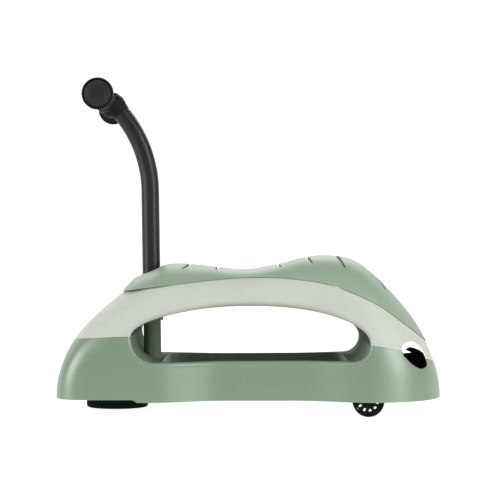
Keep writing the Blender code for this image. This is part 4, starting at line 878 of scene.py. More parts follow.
def bracket(name, y):
    """A plate that hangs from the front deck and carries the axle in a round foot."""
    top = FRONT_DECK_Z + DECK_THICKNESS / 2 - WHEEL_RADIUS
    outline = [(BRACKET_HALF_WIDTH, top)]
    for i in range(BRACKET_STEPS + 1):
        angle = -math.pi * i / BRACKET_STEPS
        outline.append((BRACKET_HALF_WIDTH * math.cos(angle), BRACKET_HALF_WIDTH * math.sin(angle)))
    outline.append((-BRACKET_HALF_WIDTH, top))
    return placed(side_prism(name, outline, BRACKET_THICKNESS / 2), (AXLE_X, y, WHEEL_RADIUS))


def base_shell(walls, lining, material):
    base = copy_of(walls, "base_walls")
    lining_ends = body_form("lining_ends", body_crest, 0.0, DEEP_Z, RIM_RADIUS)
    scoops = keep_inside(copy_of(lining, "base_lining"), lining_ends)
    socket = cylinder("socket", COLUMN_RADIUS + GAP + SOCKET_WALL, SOCKET_BOTTOM, SOCKET_TOP)
    handle_place(socket)
    cut(socket, side_prism("opening_over_socket", opening_outline(LINING_SETBACK + WALL / 3)))
    keep_inside(socket, box("socket_foot", (-FAR, -FAR, REAR_DECK_Z + DECK_THICKNESS / 2), (FAR, FAR, FAR)))
    join(base, scoops)
    keep_inside(base, region_below("below_band", BAND_LINE, -GAP / 2))
    join(base, well())
    join(base, deck("front_deck", FRONT_DECK_Z, DECK_THICKNESS, WELL_FRONT_X + WALL / 2, FAR))
    join(base, deck("rear_deck", REAR_DECK_Z, DECK_THICKNESS, -FAR, WELL_REAR_X - 2 * WALL))
    join(base, socket)
    for name, y in (("bracket_left", BRACKET_Y), ("bracket_middle", 0.0), ("bracket_right", -BRACKET_Y)):
        join(base, bracket(name, y))
    for index, (x, y, parting) in enumerate(body_screw_places()):
        bottom = (FRONT_DECK_Z if x > 0 else REAR_DECK_Z) + DECK_THICKNESS / 2
        boss = post(f"base_boss_{index}", BOSS_RADIUS, bottom, parting + WALL, x, y)
        join(base, keep_inside(boss, region_below(f"boss_below_{index}", BAND_LINE, -2 * GAP)))
    cut(base, well_space())
    hole_top = REAR_SPRING_Z + COLUMN_RADIUS - COLUMN_FOOT[1]
    cut(base, handle_place(cylinder("column_hole", COLUMN_RADIUS + GAP, 0.0, hole_top)))
    axle_hole = cylinder("axle_hole", AXLE_RADIUS + GAP, -FAR / 3, FAR / 3)
    cut(base, along_y(axle_hole, (AXLE_X, 0.0, WHEEL_RADIUS)))
    kingpin_top = REAR_DECK_Z + 2 * DECK_THICKNESS
    cut(base, post("kingpin_hole", KINGPIN_RADIUS + GAP, 0.0, kingpin_top, SWIVEL_X, 0.0, TURN_STEPS))
    half_slit = SLIT_WIDTH / 2
    slit_rear_x = -OPENING_HALF_LENGTH - LINING_SETBACK - 2 * WALL
    cut(base, box("slit", (slit_rear_x, -half_slit, SLIT_BOTTOM_Z), (COLUMN_FOOT[0], half_slit, ROOF_Z)))
    for index, (x, y, parting) in enumerate(body_screw_places()):
        cut(base, screw_hole(f"body_screw_hole_{index}", x, y, parting + WALL))
    step = (
        (-FAR, -FAR),
        (-FAR, REAR_SKIRT_Z),
        (SKIRT_STEP_X - SKIRT_STEP_LENGTH / 2, REAR_SKIRT_Z),
        (SKIRT_STEP_X + SKIRT_STEP_LENGTH / 2, SKIRT_Z - GAP),
        (SKIRT_STEP_X + SKIRT_STEP_LENGTH / 2, -FAR),
    )
    cut(base, side_prism("skirt_step", step))
    return part(base, material, "base_shell")


def pilot(name, x, y, tip):
    """The hole that a screw's shank bites in, with a little room over its tip."""
    return post(name, SCREW_SHANK_RADIUS + GAP / 2, 0.0, tip + SCREW_TIP_ROOM, x, y)


def band_shell(walls, material):
    band = copy_of(walls, "band_walls")
    ledge = body_form("ledge", body_crest, -WALL / 2)
    keep_inside(ledge, region_above("ledge_above", SEAT_LINE, -GAP / 2 - LEDGE_THICKNESS))
    cut(ledge, body_form("ledge_inside", body_crest, 0.0, DEEP_Z, WALL + LEDGE_WIDTH))
    join(band, ledge)
    for index, (x, y, parting) in enumerate(body_screw_places()):
        boss = post(f"band_boss_{index}", BOSS_RADIUS, parting - WALL, parting + 2 * SCREW_LENGTH, x, y)
        join(band, keep_inside(boss, body_form(f"boss_in_body_{index}", body_crest, -WALL / 2)))
    cut(band, handle_place(cylinder("column_space", COLUMN_RADIUS + 2 * GAP, 0.0, FAR)))
    keep_inside(band, region_above("above_base", BAND_LINE, GAP / 2))
    keep_inside(band, region_below("below_seat", SEAT_LINE, -GAP / 2))
    for index, (x, y, parting) in enumerate(body_screw_places()):
        cut(band, pilot(f"band_pilot_{index}", x, y, parting + SCREW_LENGTH / 2))
    return part(band, material, "band_shell")


def groove_outline(place, half_length, sweep, width, power=GROOVE_SWEEP_POWER):
    """A slim groove in plan, straight across the middle, with rounded ends that sweep along the body."""
    ahead = []
    behind = []
    for i in range(GROOVE_STEPS + 1):
        share = math.sin(math.pi / 2 * (2 * i / GROOVE_STEPS - 1))
        centre = place + sweep * abs(share) ** power
        half = width / 2 * max(1 - abs(share) ** GROOVE_END_POWER, GROOVE_END_SHARE) ** 0.5
        ahead.append((centre + half, half_length * share))
        behind.append((centre - half, half_length * share))
    return ahead + behind[::-1]


def seat(material):
    shell = body_form("seat_outside", seat_crest, SEAT_PROUD)
    cut(shell, body_form("seat_inside", seat_crest, SEAT_PROUD - SEAT_WALL, DEEP_Z))
    groove_floor = body_form("groove_floor", seat_crest, SEAT_PROUD - GROOVE_DEPTH)
    for index, groove in enumerate(GROOVES):
        cutter = plan_prism(f"groove_{index}", groove_outline(*groove), SKIRT_Z, FAR)
        cut(shell, cut(cutter, groove_floor))
    keep_inside(shell, region_above("above_band", SEAT_LINE, GAP / 2 + SEAT_LINE_ROOM))
    over_liner = side_prism("seat_over_liner", opening_outline(LINING_SETBACK + WALL + GAP))
    for index, (x, y) in enumerate(seat_screw_places()):
        boss = post(f"seat_boss_{index}", BOSS_RADIUS, roof_z(x), crown_z(x, y) - SEAT_WALL / 2, x, y)
        join(shell, cut(boss, over_liner))
        cut(shell, pilot(f"seat_pilot_{index}", x, y, roof_z(x) + SCREW_LENGTH))
    cut(shell, handle_place(cylinder("tube_hole", TUBE_RADIUS + GAP, 0.0, FAR)))
    return part(shell, material, "seat")


def crown_z(x, y):
    """Height of the seat's crown over a place in plan."""
    power = section_power(x)
    return SKIRT_Z + (seat_crest(x) - SKIRT_Z) * (1 - (abs(y) / half_width(x)) ** power) ** (1 / power)


def seat_screw_places():
    return [(x, y) for x in (SEAT_SCREW_X, -SEAT_SCREW_X) for y in (SEAT_SCREW_Y, -SEAT_SCREW_Y)]


def roof_z(x):
    """Height of the opening's roof."""
    spring = FRONT_SPRING_Z if x > 0 else REAR_SPRING_Z
    power = FRONT_ROOF_POWER if x > 0 else REAR_ROOF_POWER
    return spring + (ROOF_Z - spring) * (1 - abs(x / OPENING_HALF_LENGTH) ** power) ** (1 / power)


def arch_liner(skin, lining, material):
    liner = keep_inside(copy_of(lining, "liner_ring"), region_above("liner_above", BAND_LINE, GAP / 2))
    keep_inside(liner, body_form("liner_ends", body_crest, 0.0, DEEP_Z, LINER_END_INSET))
    cut(liner, rim("left_rim_space", skin, 1, GAP), rim("right_rim_space", skin, -1, GAP))
    cut(liner, handle_place(cylinder("collar_hole", COLLAR_RADIUS + GAP, 0.0, FAR)))
    for index, (x, y) in enumerate(seat_screw_places()):
        cut(liner, post(f"liner_hole_{index}", SCREW_SHANK_RADIUS + GAP, 0.0, ROOF_Z + SCREW_LENGTH, x, y))
    return part(liner, material, "arch_liner")


def screw(name, x, y, seat_z, material):
    """A screw that points up, with its head's top face against a seat."""
    profile = (
        (0.0, seat_z + SCREW_LENGTH),
        (SCREW_SHANK_RADIUS * SCREW_TAPER, seat_z + SCREW_LENGTH - SCREW_TIP_LENGTH / 3),
        (SCREW_SHANK_RADIUS, seat_z + SCREW_LENGTH - SCREW_TIP_LENGTH),
        (SCREW_SHANK_RADIUS, seat_z - GAP),
        (SCREW_HEAD_RADIUS, seat_z - GAP),
        (SCREW_HEAD_RADIUS, seat_z - GAP - SCREW_HEAD_HEIGHT * SCREW_TAPER),
        (SCREW_HEAD_RADIUS * SCREW_TAPER, seat_z - GAP - SCREW_HEAD_HEIGHT),
        (0.0, seat_z - GAP - SCREW_HEAD_HEIGHT),
    )
    return part(placed(turned(name, profile, SMALL_TURN_STEPS), (x, y, 0.0)), material)


def seat_screws(material):
    for index, (x, y) in enumerate(seat_screw_places()):
        head_edge_x = x + math.copysign(SCREW_HEAD_RADIUS, x)
        screw(f"seat_screw_{index + 1}", x, y, roof_z(head_edge_x) + LINING_SETBACK, material)


def smooth_loop(points, steps):
    """A closed outline rounded between its points, with its sharp corners kept."""
    count = len(points)

    def tangent(i):
        before, here, after = (Vector(points[j % count]) for j in (i - 1, i, i + 1))
        if (here - before).angle(after - here) > EYE_SHARP_ANGLE:
            return Vector((0.0, 0.0))
        return (after - before) / 2

    loop = []
    for i in range(count):
        start, end = Vector(points[i]), Vector(points[(i + 1) % count])
        leave, arrive = tangent(i), tangent(i + 1)
        for step in range(steps):
            t = step / steps
            spot = start * (1 + 2 * t) * (1 - t) ** 2 + end * (3 - 2 * t) * t**2
            loop.append(spot + leave * t * (1 - t) ** 2 - arrive * (1 - t) * t**2)
    return [(spot.x, spot.y) for spot in loop]


def eye_outline(points):
    return smooth_loop([(EYE_CENTRE[0] + x, EYE_CENTRE[1] + z) for x, z in points], EYE_STEPS)


def eyes(white_material, black_material):
    """The eye on each side: a white shape and a black drop, laid on the body's skin."""
    white_outline = eye_outline(EYE_WHITE)
    drop_outline = eye_outline(EYE_DROP)
    skin = body_form("eye_skin", body_crest, GAP)
    for side, sign in (("left", 1), ("right", -1)):
        low = (0.0, EYE_INNER_Y if sign > 0 else -FAR, 0.0)
        high = (FAR, FAR if sign > 0 else -EYE_INNER_Y, FAR)
        half = box(f"eye_half_{side}", low, high)
        for kind, outline, thickness, material in (
            ("drop", drop_outline, DROP_THICKNESS, black_material),
            ("white", white_outline, EYE_THICKNESS, white_material),
        ):
            shape = keep_inside(side_prism(f"eye_{kind}_{side}_outline", outline), half)
            keep_inside(shape, body_form(f"eye_{kind}_{side}_face", body_crest, GAP + thickness))
            cut(shape, skin)
            if kind == "white":
                cut(shape, side_prism(f"eye_cut_{side}", drop_outline))
            part(shape, material, f"eye_{kind}_{side}")


# Handle, wheels and swivel base


def handle_path(start, end_angle):
    """The handle's centre line, from a distance up the column's axis to an angle round the bend."""
    path = []
    spigot_end = start + SPIGOT_LENGTH
    for distance in (start, spigot_end, spigot_end + SHOULDER_LENGTH, BEND_START):
        x, z = handle_point(distance)
        path.append((x, 0.0, z))
    bend_x, bend_z = handle_point(BEND_START)
    centre_x = bend_x - math.cos(HANDLE_LEAN) * BEND_RADIUS
    centre_z = bend_z - math.sin(HANDLE_LEAN) * BEND_RADIUS
    for i in range(1, BEND_STEPS + 1):
        angle = HANDLE_LEAN + end_angle * i / BEND_STEPS
        x = centre_x + BEND_RADIUS * math.cos(angle)
        path.append((x, 0.0, centre_z + BEND_RADIUS * math.sin(angle)))
    return path


def bar_centre():
    """The crossbar's middle, just beyond the end of the bent tube."""
    x, y, z = handle_path(0.0, BEND_ANGLE)[-1]
    return x + BAR_OFFSET[0], z + BAR_OFFSET[1]


def on_bar(obj, outward=1):
    x, z = bar_centre()
    return along_y(obj, (x, 0.0, z), outward)


def column(material):
    collar_end = COLLAR_START + COLLAR_LENGTH
    profile = (
        (COLUMN_BORE_RADIUS, COLUMN_LENGTH),
        (COLUMN_RADIUS, COLUMN_LENGTH),
        (COLUMN_RADIUS, collar_end),
        (COLLAR_RADIUS, collar_end),
        (COLLAR_RADIUS, COLLAR_START),
        (COLUMN_RADIUS, COLLAR_START),
        (COLUMN_RADIUS, GAP),
        (COLUMN_BORE_RADIUS, GAP),
    )
    return part(handle_place(turned("handle_column", profile, ring=True)), material)


def handle_tube(material):
    path = handle_path(SPIGOT_START, BEND_ANGLE)
    narrow = SPIGOT_RADIUS / TUBE_RADIUS
    radii = [narrow, narrow] + [1.0] * (len(path) - 2)
    tube = swept("handle_tube", path, TUBE_RADIUS, TUBE_RESOLUTION, radii)
    bore_path = handle_path(SPIGOT_START - TUBE_WALL, BEND_ANGLE * BORE_OVERRUN)
    bore_path[1] = path[1]
    bore_path[2] = path[2]
    bore_radius = TUBE_RADIUS - TUBE_WALL
    narrow_bore = (SPIGOT_RADIUS - TUBE_WALL) / bore_radius
    bore_radii = [narrow_bore, narrow_bore] + [1.0] * (len(path) - 2)
    bore = swept("tube_bore", bore_path, bore_radius, TUBE_RESOLUTION - 1, bore_radii)
    return part(cut(tube, bore), material)


def tee_hub(material):
    """The moulded junction that holds the bent tube and the crossbar."""
    end = HUB_HALF_LENGTH
    profile = [(0.0, end), (HUB_END_RADIUS, end)]
    for i in range(1, HUB_STEPS):
        share = 1 - 2 * i / HUB_STEPS
        radius = HUB_RADIUS - (HUB_RADIUS - HUB_END_RADIUS) * share**4
        profile.append((radius, end * share))
    profile += [(HUB_END_RADIUS, -end), (0.0, -end)]
    hub = on_bar(turned("tee_hub", profile))
    path = handle_path(0.0, BEND_ANGLE)
    first = len(path) - 1 - math.ceil(NECK_LENGTH / BEND_RADIUS / BEND_ANGLE * BEND_STEPS)
    bend_end = Vector(path[-1])
    bar_x, bar_z = bar_centre()
    middle = Vector((bar_x, 0.0, bar_z))
    neck_path = path[first:]
    neck_path += [tuple(bend_end.lerp(middle, i / NECK_STEPS)) for i in range(1, NECK_STEPS + 1)]
    near, far = NECK_SHOULDER
    flare = NECK_FLARE_RADIUS / NECK_RADIUS - 1
    widths = []
    for point in neck_path:
        along = (Vector(point) - middle).length
        swell = 1 - smooth_step((along - near) / (far - near))
        swell *= NECK_END_SHARE + (1 - NECK_END_SHARE) * smooth_step(along / near)
        widths.append(1 + flare * swell)
    join(hub, swept("neck", neck_path, NECK_RADIUS, TUBE_RESOLUTION, widths))
    cut(hub, on_bar(cylinder("bar_space", BAR_TUBE_RADIUS + GAP, -FAR, FAR, TURN_STEPS - 1)))
    cut(hub, swept("tube_space", path, TUBE_RADIUS + GAP, TUBE_RESOLUTION))
    return part(hub, material)


def grip(side, sign, material):
    """A grip with finger rings and an end flange, slid over the crossbar."""
    bore = BAR_TUBE_RADIUS + GAP
    start = HUB_HALF_LENGTH + GAP
    flange_start = GRIP_END_Y - GRIP_FLANGE_LENGTH
    seat_depth = BAR_TUBE_HALF_LENGTH + GAP
    edge = GRIP_EDGE
    outer = [(GRIP_RADIUS, start + edge), (GRIP_RADIUS - edge, start)]
    ring_end = flange_start - GRIP_PLAIN_OUTER
    pitch = (ring_end - start - GRIP_PLAIN_INNER) / GRIP_RING_COUNT
    rings = []
    for i in range(GRIP_RING_COUNT):
        base = ring_end - pitch * (i + GRIP_RING_START)
        for share, height in GRIP_RING_SHAPE:
            rings.append((GRIP_RADIUS + GRIP_RING_HEIGHT * height, base - pitch * share))
    cap_seat = CAP_RADIUS + GAP
    profile = [
        (cap_seat, GRIP_END_Y - edge),
        (cap_seat + CAP_DEPTH, GRIP_END_Y),
        (GRIP_FLANGE_RADIUS - edge, GRIP_END_Y),
        (GRIP_FLANGE_RADIUS, GRIP_END_Y - edge),
        (GRIP_FLANGE_RADIUS, flange_start + edge),
        (GRIP_FLANGE_RADIUS - edge, flange_start),
        (GRIP_RADIUS + edge, flange_start - edge),
        (GRIP_RADIUS, flange_start - 2 * edge),
    ]
    profile += rings + outer
    profile += [(bore, start), (bore, seat_depth), (cap_seat, seat_depth)]
    return part(on_bar(turned(f"grip_{side}", profile, TURN_STEPS, ring=True), sign), material)


def grip_cap(side, sign, material):
    """The domed disc that closes a grip's end, with a spigot in the crossbar's bore."""
    seat_z = BAR_TUBE_HALF_LENGTH + 2 * GAP
    edge_z = GRIP_END_Y - CAP_DEPTH
    profile = []
    for i in range(CAP_STEPS):
        share = i / CAP_STEPS
        profile.append((CAP_FACE_RADIUS * share, edge_z + CAP_DOME * (1 - share**2)))
    profile += [
        (CAP_FACE_RADIUS, edge_z),
        (CAP_RADIUS, edge_z - CAP_EDGE),
        (CAP_RADIUS, seat_z),
        (CAP_SPIGOT_RADIUS, seat_z),
        (CAP_SPIGOT_RADIUS, seat_z - CAP_SPIGOT_LENGTH),
        (0.0, seat_z - CAP_SPIGOT_LENGTH),
    ]
    return part(on_bar(turned(f"grip_cap_{side}", profile, TURN_STEPS), sign), material)


def slot_outline(angle):
    """A round-ended slot that points away from the axle."""
    half = SLOT_WIDTH / 2
    outline = []
    for centre, start in ((SLOT_OUTER_RADIUS - half, -90), (SLOT_INNER_RADIUS + half, 90)):
        for i in range(SLOT_STEPS + 1):
            turn = math.radians(start + 180 * i / SLOT_STEPS)
            radial = centre + half * math.cos(turn)
            across = half * math.sin(turn)
            x = radial * math.cos(angle) - across * math.sin(angle)
            y = radial * math.sin(angle) + across * math.cos(angle)
            outline.append((x, y))
    return outline


def front_wheel(side, sign, wheel_material, tyre_material):
    """A wheel with a slotted web near its outer face, a boss against the bracket, and a tread ring."""
    half = WHEEL_WIDTH / 2
    rim_radius = WHEEL_RADIUS - TYRE_THICKNESS - GAP
    rim_inside = SLOT_OUTER_RADIUS + SLOT_MARGIN
    bore = AXLE_RADIUS + RUNNING_GAP
    edge = WHEEL_EDGE
    profile = (
        (bore, half),
        (rim_radius - edge, half),
        (rim_radius, half - edge),
        (rim_radius, edge - half),
        (rim_radius - edge, -half),
        (rim_inside, -half),
        (rim_inside, half - WEB_THICKNESS),
        (WHEEL_HUB_RADIUS, half - WEB_THICKNESS),
        (WHEEL_HUB_RADIUS, -half - WHEEL_BOSS_LENGTH),
        (bore, -half - WHEEL_BOSS_LENGTH),
    )
    wheel = turned(f"front_wheel_{side}", profile, ring=True)
    for index in range(SLOT_COUNT):
        angle = FIRST_SLOT_ANGLE + 2 * math.pi * index / SLOT_COUNT
        cut(wheel, outline_solid(f"slot_{side}_{index}", slot_outline(angle), WHEEL_WIDTH))
    place = (AXLE_X, sign * WHEEL_CENTRE_Y, WHEEL_RADIUS)
    part(along_y(wheel, place, sign), wheel_material)
    tread_inner = WHEEL_RADIUS - TYRE_THICKNESS
    tread = (
        (tread_inner, half),
        (WHEEL_RADIUS - TREAD_CROWN, half),
        (WHEEL_RADIUS, half * TREAD_FLAT_SHARE),
        (WHEEL_RADIUS, -half * TREAD_FLAT_SHARE),
        (WHEEL_RADIUS - TREAD_CROWN, -half),
        (tread_inner, -half),
    )
    tyre = turned(f"front_tyre_{side}", tread, FINE_TURN_STEPS, ring=True)
    part(along_y(tyre, place, sign), tyre_material)


def pocket(name, low_x, high_x):
    reach = CASTER_RADIUS + POCKET_CLEARANCE
    low = (SWIVEL_X + low_x, CASTER_TRAIL - reach, -FAR)
    high = (SWIVEL_X + high_x, CASTER_TRAIL + reach, CASTER_RADIUS + reach)
    return box(name, low, high)


def turntable(material):
    """A round cup that hangs from the kingpin, with a housing in it for the two caster wheels."""
    top, bottom, edge = TURNTABLE_TOP_Z, TURNTABLE_BOTTOM_Z, TURNTABLE_EDGE
    inside = TURNTABLE_RADIUS - TURNTABLE_WALL
    bore = KINGPIN_RADIUS + RUNNING_GAP
    head_space = KINGPIN_HEAD_RADIUS + 2 * GAP
    head_top = KINGPIN_HEAD_Z + KINGPIN_HEAD_HEIGHT + GAP
    profile = [(bore, top), (SWIVEL_HUB_RADIUS, top), (SWIVEL_HUB_RADIUS, bottom + TURNTABLE_FLOOR)]
    profile += [(inside, bottom + TURNTABLE_FLOOR), (inside, top), (TURNTABLE_RADIUS, top)]
    for i in range(TURNTABLE_EDGE_STEPS + 1):
        angle = math.pi / 2 * i / TURNTABLE_EDGE_STEPS
        radius = TURNTABLE_RADIUS - edge + edge * math.cos(angle)
        profile.append((radius, bottom + edge - edge * math.sin(angle)))
    profile += [(head_space, bottom), (head_space, head_top), (bore, head_top)]
    table = placed(turned("turntable", profile, FINE_TURN_STEPS, ring=True), (SWIVEL_X, 0.0, 0.0))
    inner_x = CASTER_WEB / 2
    outer_x = inner_x + CASTER_WIDTH + 2 * POCKET_CLEARANCE
    reach = CASTER_RADIUS + POCKET_CLEARANCE + HOUSING_ROOF
    wall_x = outer_x + HOUSING_WALL
    low = (SWIVEL_X - wall_x, KINGPIN_HEAD_RADIUS + RUNNING_GAP + WALL / 3, bottom + TURNTABLE_FLOOR / 2)
    high = (SWIVEL_X + wall_x, FAR, CASTER_RADIUS + reach)
    housing = box("caster_housing", low, high)
    limit_radius = TURNTABLE_RADIUS - TURNTABLE_WALL / 2
    limit = post("housing_limit", limit_radius, 0.0, FAR, SWIVEL_X, 0.0, FINE_TURN_STEPS)
    join(table, keep_inside(housing, limit))
    cut(table, pocket("pocket_left", inner_x, outer_x), pocket("pocket_right", -outer_x, -inner_x))
    axle_end = outer_x + CASTER_AXLE_REACH
    steps = SMALL_TURN_STEPS + 4
    axle_space = cylinder("caster_axle_space", CASTER_AXLE_RADIUS + GAP, -axle_end, axle_end, steps)
    cut(table, along_x(axle_space, (SWIVEL_X, CASTER_TRAIL, CASTER_RADIUS)))
    half_throat = CASTER_AXLE_RADIUS * THROAT_SHARE
    low = (SWIVEL_X - axle_end, CASTER_TRAIL - half_throat, -FAR)
    high = (SWIVEL_X + axle_end, CASTER_TRAIL + half_throat, CASTER_RADIUS)
    cut(table, box("axle_throat", low, high))
    part(table, material)
    axle = cylinder("caster_axle", CASTER_AXLE_RADIUS, GAP - axle_end, axle_end - GAP, steps)
    return along_x(axle, (SWIVEL_X, CASTER_TRAIL, CASTER_RADIUS))


def caster_wheel(name, sign, material):
    half = CASTER_WIDTH / 2
    edge = CASTER_EDGE
    bore = CASTER_AXLE_RADIUS + RUNNING_GAP
    profile = (
        (bore, half),
        (CASTER_RADIUS - edge, half),
        (CASTER_RADIUS, half - edge),
        (CASTER_RADIUS, edge - half),
        (CASTER_RADIUS - edge, -half),
        (bore, -half),
    )
    across = CASTER_WEB / 2 + POCKET_CLEARANCE + half
    place = (SWIVEL_X + sign * across, CASTER_TRAIL, CASTER_RADIUS)
    return part(along_x(turned(name, profile, ring=True), place, sign), material)


def screw_hole(name, x, y, top):
    """A screw's way through a deck and up a boss, wide enough below the boss for its head."""
    hole = cylinder(name, SCREW_SHANK_RADIUS + GAP, 0.0, top, SMALL_TURN_STEPS)
    head_top = top - WALL - SCREW_LENGTH / 2
    head = cylinder(name + "_head", SCREW_HEAD_RADIUS + GAP, 0.0, head_top, SMALL_TURN_STEPS)
    return placed(join(hole, head), (x, y, 0.0))


# Materials


def set_inputs(node, values):
    """Sets a node's inputs from their names and values."""
    for name, value in values.items():
        node.inputs[name].default_value = value
    return node


def moulded(name, colour, roughness, gloss, speckle=0.05, grain=0.00004, metallic=0.0):
    """A fine grained surface, slightly uneven in colour and finish, and paler where edges have rubbed."""
    material = bpy.data.materials.new(name)
    material.use_nodes = True
    nodes = material.node_tree.nodes
    links = material.node_tree.links
    shader = nodes["Principled BSDF"]
    place = nodes.new("ShaderNodeTexCoord")

    def noise(scale, detail):
        texture = set_inputs(nodes.new("ShaderNodeTexNoise"), {"Scale": scale, "Detail": detail})
        links.new(place.outputs["Object"], texture.inputs["Vector"])
        return texture.outputs["Fac"]

    def mapped(value, span, low, high):
        ends = {"From Min": span[0], "From Max": span[1], "To Min": low, "To Max": high}
        node = set_inputs(nodes.new("ShaderNodeMapRange"), ends)
        links.new(value, node.inputs["Value"])
        return node.outputs["Result"]

    def mixed(factor, first, second):
        node = nodes.new("ShaderNodeMix")
        node.data_type = "RGBA"
        links.new(factor, node.inputs["Factor"])
        for socket, value in (("A", first), ("B", second)):
            target = next(s for s in node.inputs if s.name == socket and s.type == "RGBA")
            if isinstance(value, tuple):
                target.default_value = value
            else:
                links.new(value, target)
        return next(s for s in node.outputs if s.type == "RGBA")

    def tone(scale, lift=0.0):
        return tuple(min(c * scale + lift, 1.0) for c in colour) + (1.0,)

    fine = noise(SPECKLE_SCALE, FINE_DETAIL)
    cloud = noise(CLOUD_SCALE, CLOUD_DETAIL)
    grained = mixed(mapped(fine, NOISE_SPAN, 0.0, 1.0), tone(1 - speckle), tone(1 + speckle))
    uneven = mixed(mapped(cloud, CLOUD_SPAN, 0.0, CLOUD_SHARE), grained, tone(1 - speckle / 2))
    geometry = nodes.new("ShaderNodeNewGeometry")
    edge = mapped(geometry.outputs["Pointiness"], EDGE_SPAN, 0.0, EDGE_SHARE)
    links.new(mixed(edge, uneven, tone(WORN_SCALE, WORN_LIFT)), shader.inputs["Base Color"])
    finish = mapped(cloud, NOISE_SPAN, roughness - SMOOTHER, roughness + ROUGHER)
    links.new(finish, shader.inputs["Roughness"])
    bump = set_inputs(nodes.new("ShaderNodeBump"), {"Strength": BUMP_STRENGTH, "Distance": grain})
    links.new(noise(GRAIN_SCALE, FINE_DETAIL), bump.inputs["Height"])
    links.new(bump.outputs["Normal"], shader.inputs["Normal"])
    set_inputs(shader, {"Specular IOR Level": gloss, "Metallic": metallic})
    return material


# Name, colour, roughness and gloss, and for some the speckle, the depth of grain and how metallic it is
inside_green = moulded("matt_inside_green", (0.130, 0.182, 0.126), 0.75, 0.1)
# The well's paler green is painted light: the body green lightened for the well's upright faces.
well_painted_light_green = moulded("matt_well_green", (0.330, 0.400, 0.328), 0.75, 0.2)
matt_black = moulded("matt_black", (0.004, 0.004, 0.004), 0.8, 0.04, 0.2)
looks = {
    "green": (moulded("grained_green", (0.113, 0.175, 0.109), 0.38, 1.0, 0.08), "green"),
    "seat_green": (moulded("grained_seat_green", (0.184, 0.250, 0.180), 0.50, 0.6, 0.07), "seat_green"),
    "inner_green": (moulded("inner_green", (0.122, 0.165, 0.122), 0.75, 0.2), "inner_green"),
    # The arch liner's colour is painted shade: the inner green darkened to stand for the deep shadow under
    # the arch.
    "liner_green": (moulded("liner_green", (0.042, 0.055, 0.041), 0.75, 0.1), "inner_green"),
    "cream": (moulded("grained_cream", (0.378, 0.402, 0.350), 0.55, 0.3, 0.06), "cream"),
    "rubber": (moulded("dark_rubber", (0.005, 0.005, 0.005), 0.6, 0.10, 0.15), "black"),
    "matt_black": (matt_black, "black"),
    "black": (moulded("satin_black", (0.007, 0.007, 0.007), 0.42, 0.28, 0.15), "black"),
    "coated": (moulded("coated_steel", (0.007, 0.007, 0.007), 0.38, 0.26, 0.08, 0.00002), "coated_steel"),
    "tread": (moulded("matt_tread", (0.003, 0.003, 0.003), 0.8, 0.02, 0.2, 0.00008), "tread"),
    "steel": (moulded("plated_steel", (0.55, 0.55, 0.54), 0.33, 0.5, 0.08, 0.00002, 1.0), "steel"),
    "white": (moulded("white_inlay", (0.90, 0.90, 0.88), 0.40, 0.5, 0.02, 0.00001), "eye_white"),
    "drop": (moulded("black_inlay", (0.001, 0.001, 0.001), 0.80, 0.0, 0.10, 0.00001), "eye_black"),
}
slot_materials = {slot: material for material, slot in looks.values()}
for entry in frame["record"]["subparts"]:
    node = frame["nodes"][entry["node"]]
    node.data.materials.clear()
    node.data.materials.append(slot_materials[entry["material_slot"]])
    node.data.shade_smooth()
    node.data.set_sharp_from_angle(angle=NODE_SHARP_ANGLE)

for name in ("axle_cap_left", "axle_cap_right"):
    frame["nodes"][name].data.materials[0] = matt_black

BODY_OF = {name: body for body, names in frame["record"]["behaviour"]["bodies"].items() for name in names}


def matt_inside(base):
    """The faces round the opening and in the well have a matt finish; the well's upright faces get a paler
    green that is painted light.
    """
    base.data.materials.append(inside_green)
    base.data.materials.append(well_painted_light_green)
    for face in base.data.polygons:
        x, y, z = face.center
        over_floor = z > WELL_FLOOR_Z - WALL / 2
        if over_floor and abs(x) < OPENING_HALF_LENGTH + WALL and abs(y) < flank_y(x, z) - RIM_RADIUS:
            # Painted light: the well's upright faces take the paler green.
            upright = abs(face.normal.z) < UPRIGHT_LIMIT and z < SILL_Z - SILL_RISE - WALL
            face.material_index = 2 if upright else 1


# Pieces

skin, walls = side_walls()
lining = opening_lining()
matt_inside(base_shell(walls, lining, looks["green"]))
band_shell(walls, looks["cream"])
seat(looks["seat_green"])
arch_liner(skin, lining, looks["liner_green"])
seat_screws(looks["steel"])
eyes(looks["white"], looks["drop"])
column(looks["inner_green"])
handle_tube(looks["coated"])
tee_hub(looks["rubber"])
for side, sign in (("left", 1), ("right", -1)):
    grip(side, sign, looks["rubber"])
    grip_cap(side, sign, looks["black"])
    front_wheel(side, sign, looks["matt_black"], looks["tread"])
part(turntable(looks["matt_black"]), looks["steel"], "caster_axle")
caster_wheel("caster_wheel_front", 1, looks["tread"])
caster_wheel("caster_wheel_rear", -1, looks["tread"])

for helper in [o for o in bpy.data.objects if o.name.startswith(MAKING)]:
    bpy.data.objects.remove(helper)

# Stage, lights and camera


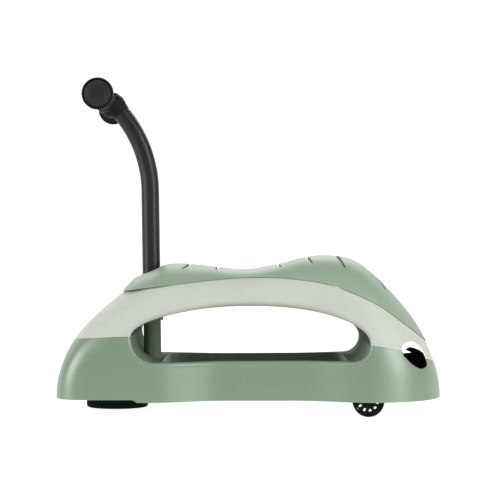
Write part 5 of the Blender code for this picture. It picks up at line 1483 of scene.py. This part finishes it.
def floor_and_backdrop():
    """A plain pale floor that curves up into a backdrop far behind."""
    bm = bmesh.new()
    profile = [(FLOOR_NEAR_Y, 0.0), (FLOOR_FAR_Y, 0.0)]
    for i in range(1, BACKDROP_STEPS + 1):
        angle = math.pi / 2 * i / BACKDROP_STEPS
        y = FLOOR_FAR_Y + BACKDROP_RADIUS * math.sin(angle)
        profile.append((y, BACKDROP_RADIUS * (1 - math.cos(angle))))
    profile.append((FLOOR_FAR_Y + BACKDROP_RADIUS, BACKDROP_TOP_Z))
    edges = (-STAGE_HALF_WIDTH, STAGE_HALF_WIDTH)
    rows = [[bm.verts.new((x, y, z)) for x in edges] for y, z in profile]
    for near, far in zip(rows, rows[1:]):
        bm.faces.new((near[0], near[1], far[1], far[0]))
    mesh = bpy.data.meshes.new("stage_floor")
    bm.to_mesh(mesh)
    bm.free()
    mesh.shade_smooth()
    floor = linked("stage_floor", mesh)
    material = bpy.data.materials.new("stage_pale")
    material.use_nodes = True
    pale = {
        "Base Color": (FLOOR_TONE, FLOOR_TONE, FLOOR_TONE, 1.0),
        "Roughness": 1.0,
        "Specular IOR Level": 0.0,
        "Emission Color": (1.0, 1.0, 1.0, 1.0),
        "Emission Strength": FLOOR_GLOW,
    }
    set_inputs(material.node_tree.nodes["Principled BSDF"], pale)
    mesh.materials.append(material)


def area_light(name, place, target, size, power):
    data = bpy.data.lights.new(name, "AREA")
    data.shape = "RECTANGLE"
    data.size, data.size_y = size
    data.energy = power
    light = linked(name, data)
    light.location = place
    light.rotation_euler = (Vector(target) - Vector(place)).to_track_quat("-Z", "Y").to_euler()


floor_and_backdrop()
world = bpy.data.worlds.new("studio")
bpy.context.scene.world = world
world.use_nodes = True
set_inputs(world.node_tree.nodes["Background"], {"Color": (1.0, 1.0, 1.0, 1.0), "Strength": STUDIO_GLOW})
for name, light in LIGHTS.items():
    area_light(name, *light)

camera_data = bpy.data.cameras.new("photo_camera")
camera_data.lens = CAMERA_LENS
camera_data.sensor_width = CAMERA_SENSOR
camera_data.shift_y = CAMERA_SHIFT_Y
camera = linked("photo_camera", camera_data)
camera.location = CAMERA_PLACE
camera.rotation_euler = (math.pi / 2, 0.0, 0.0)
bpy.context.scene.camera = camera
bpy.context.scene.view_settings.view_transform = "Standard"
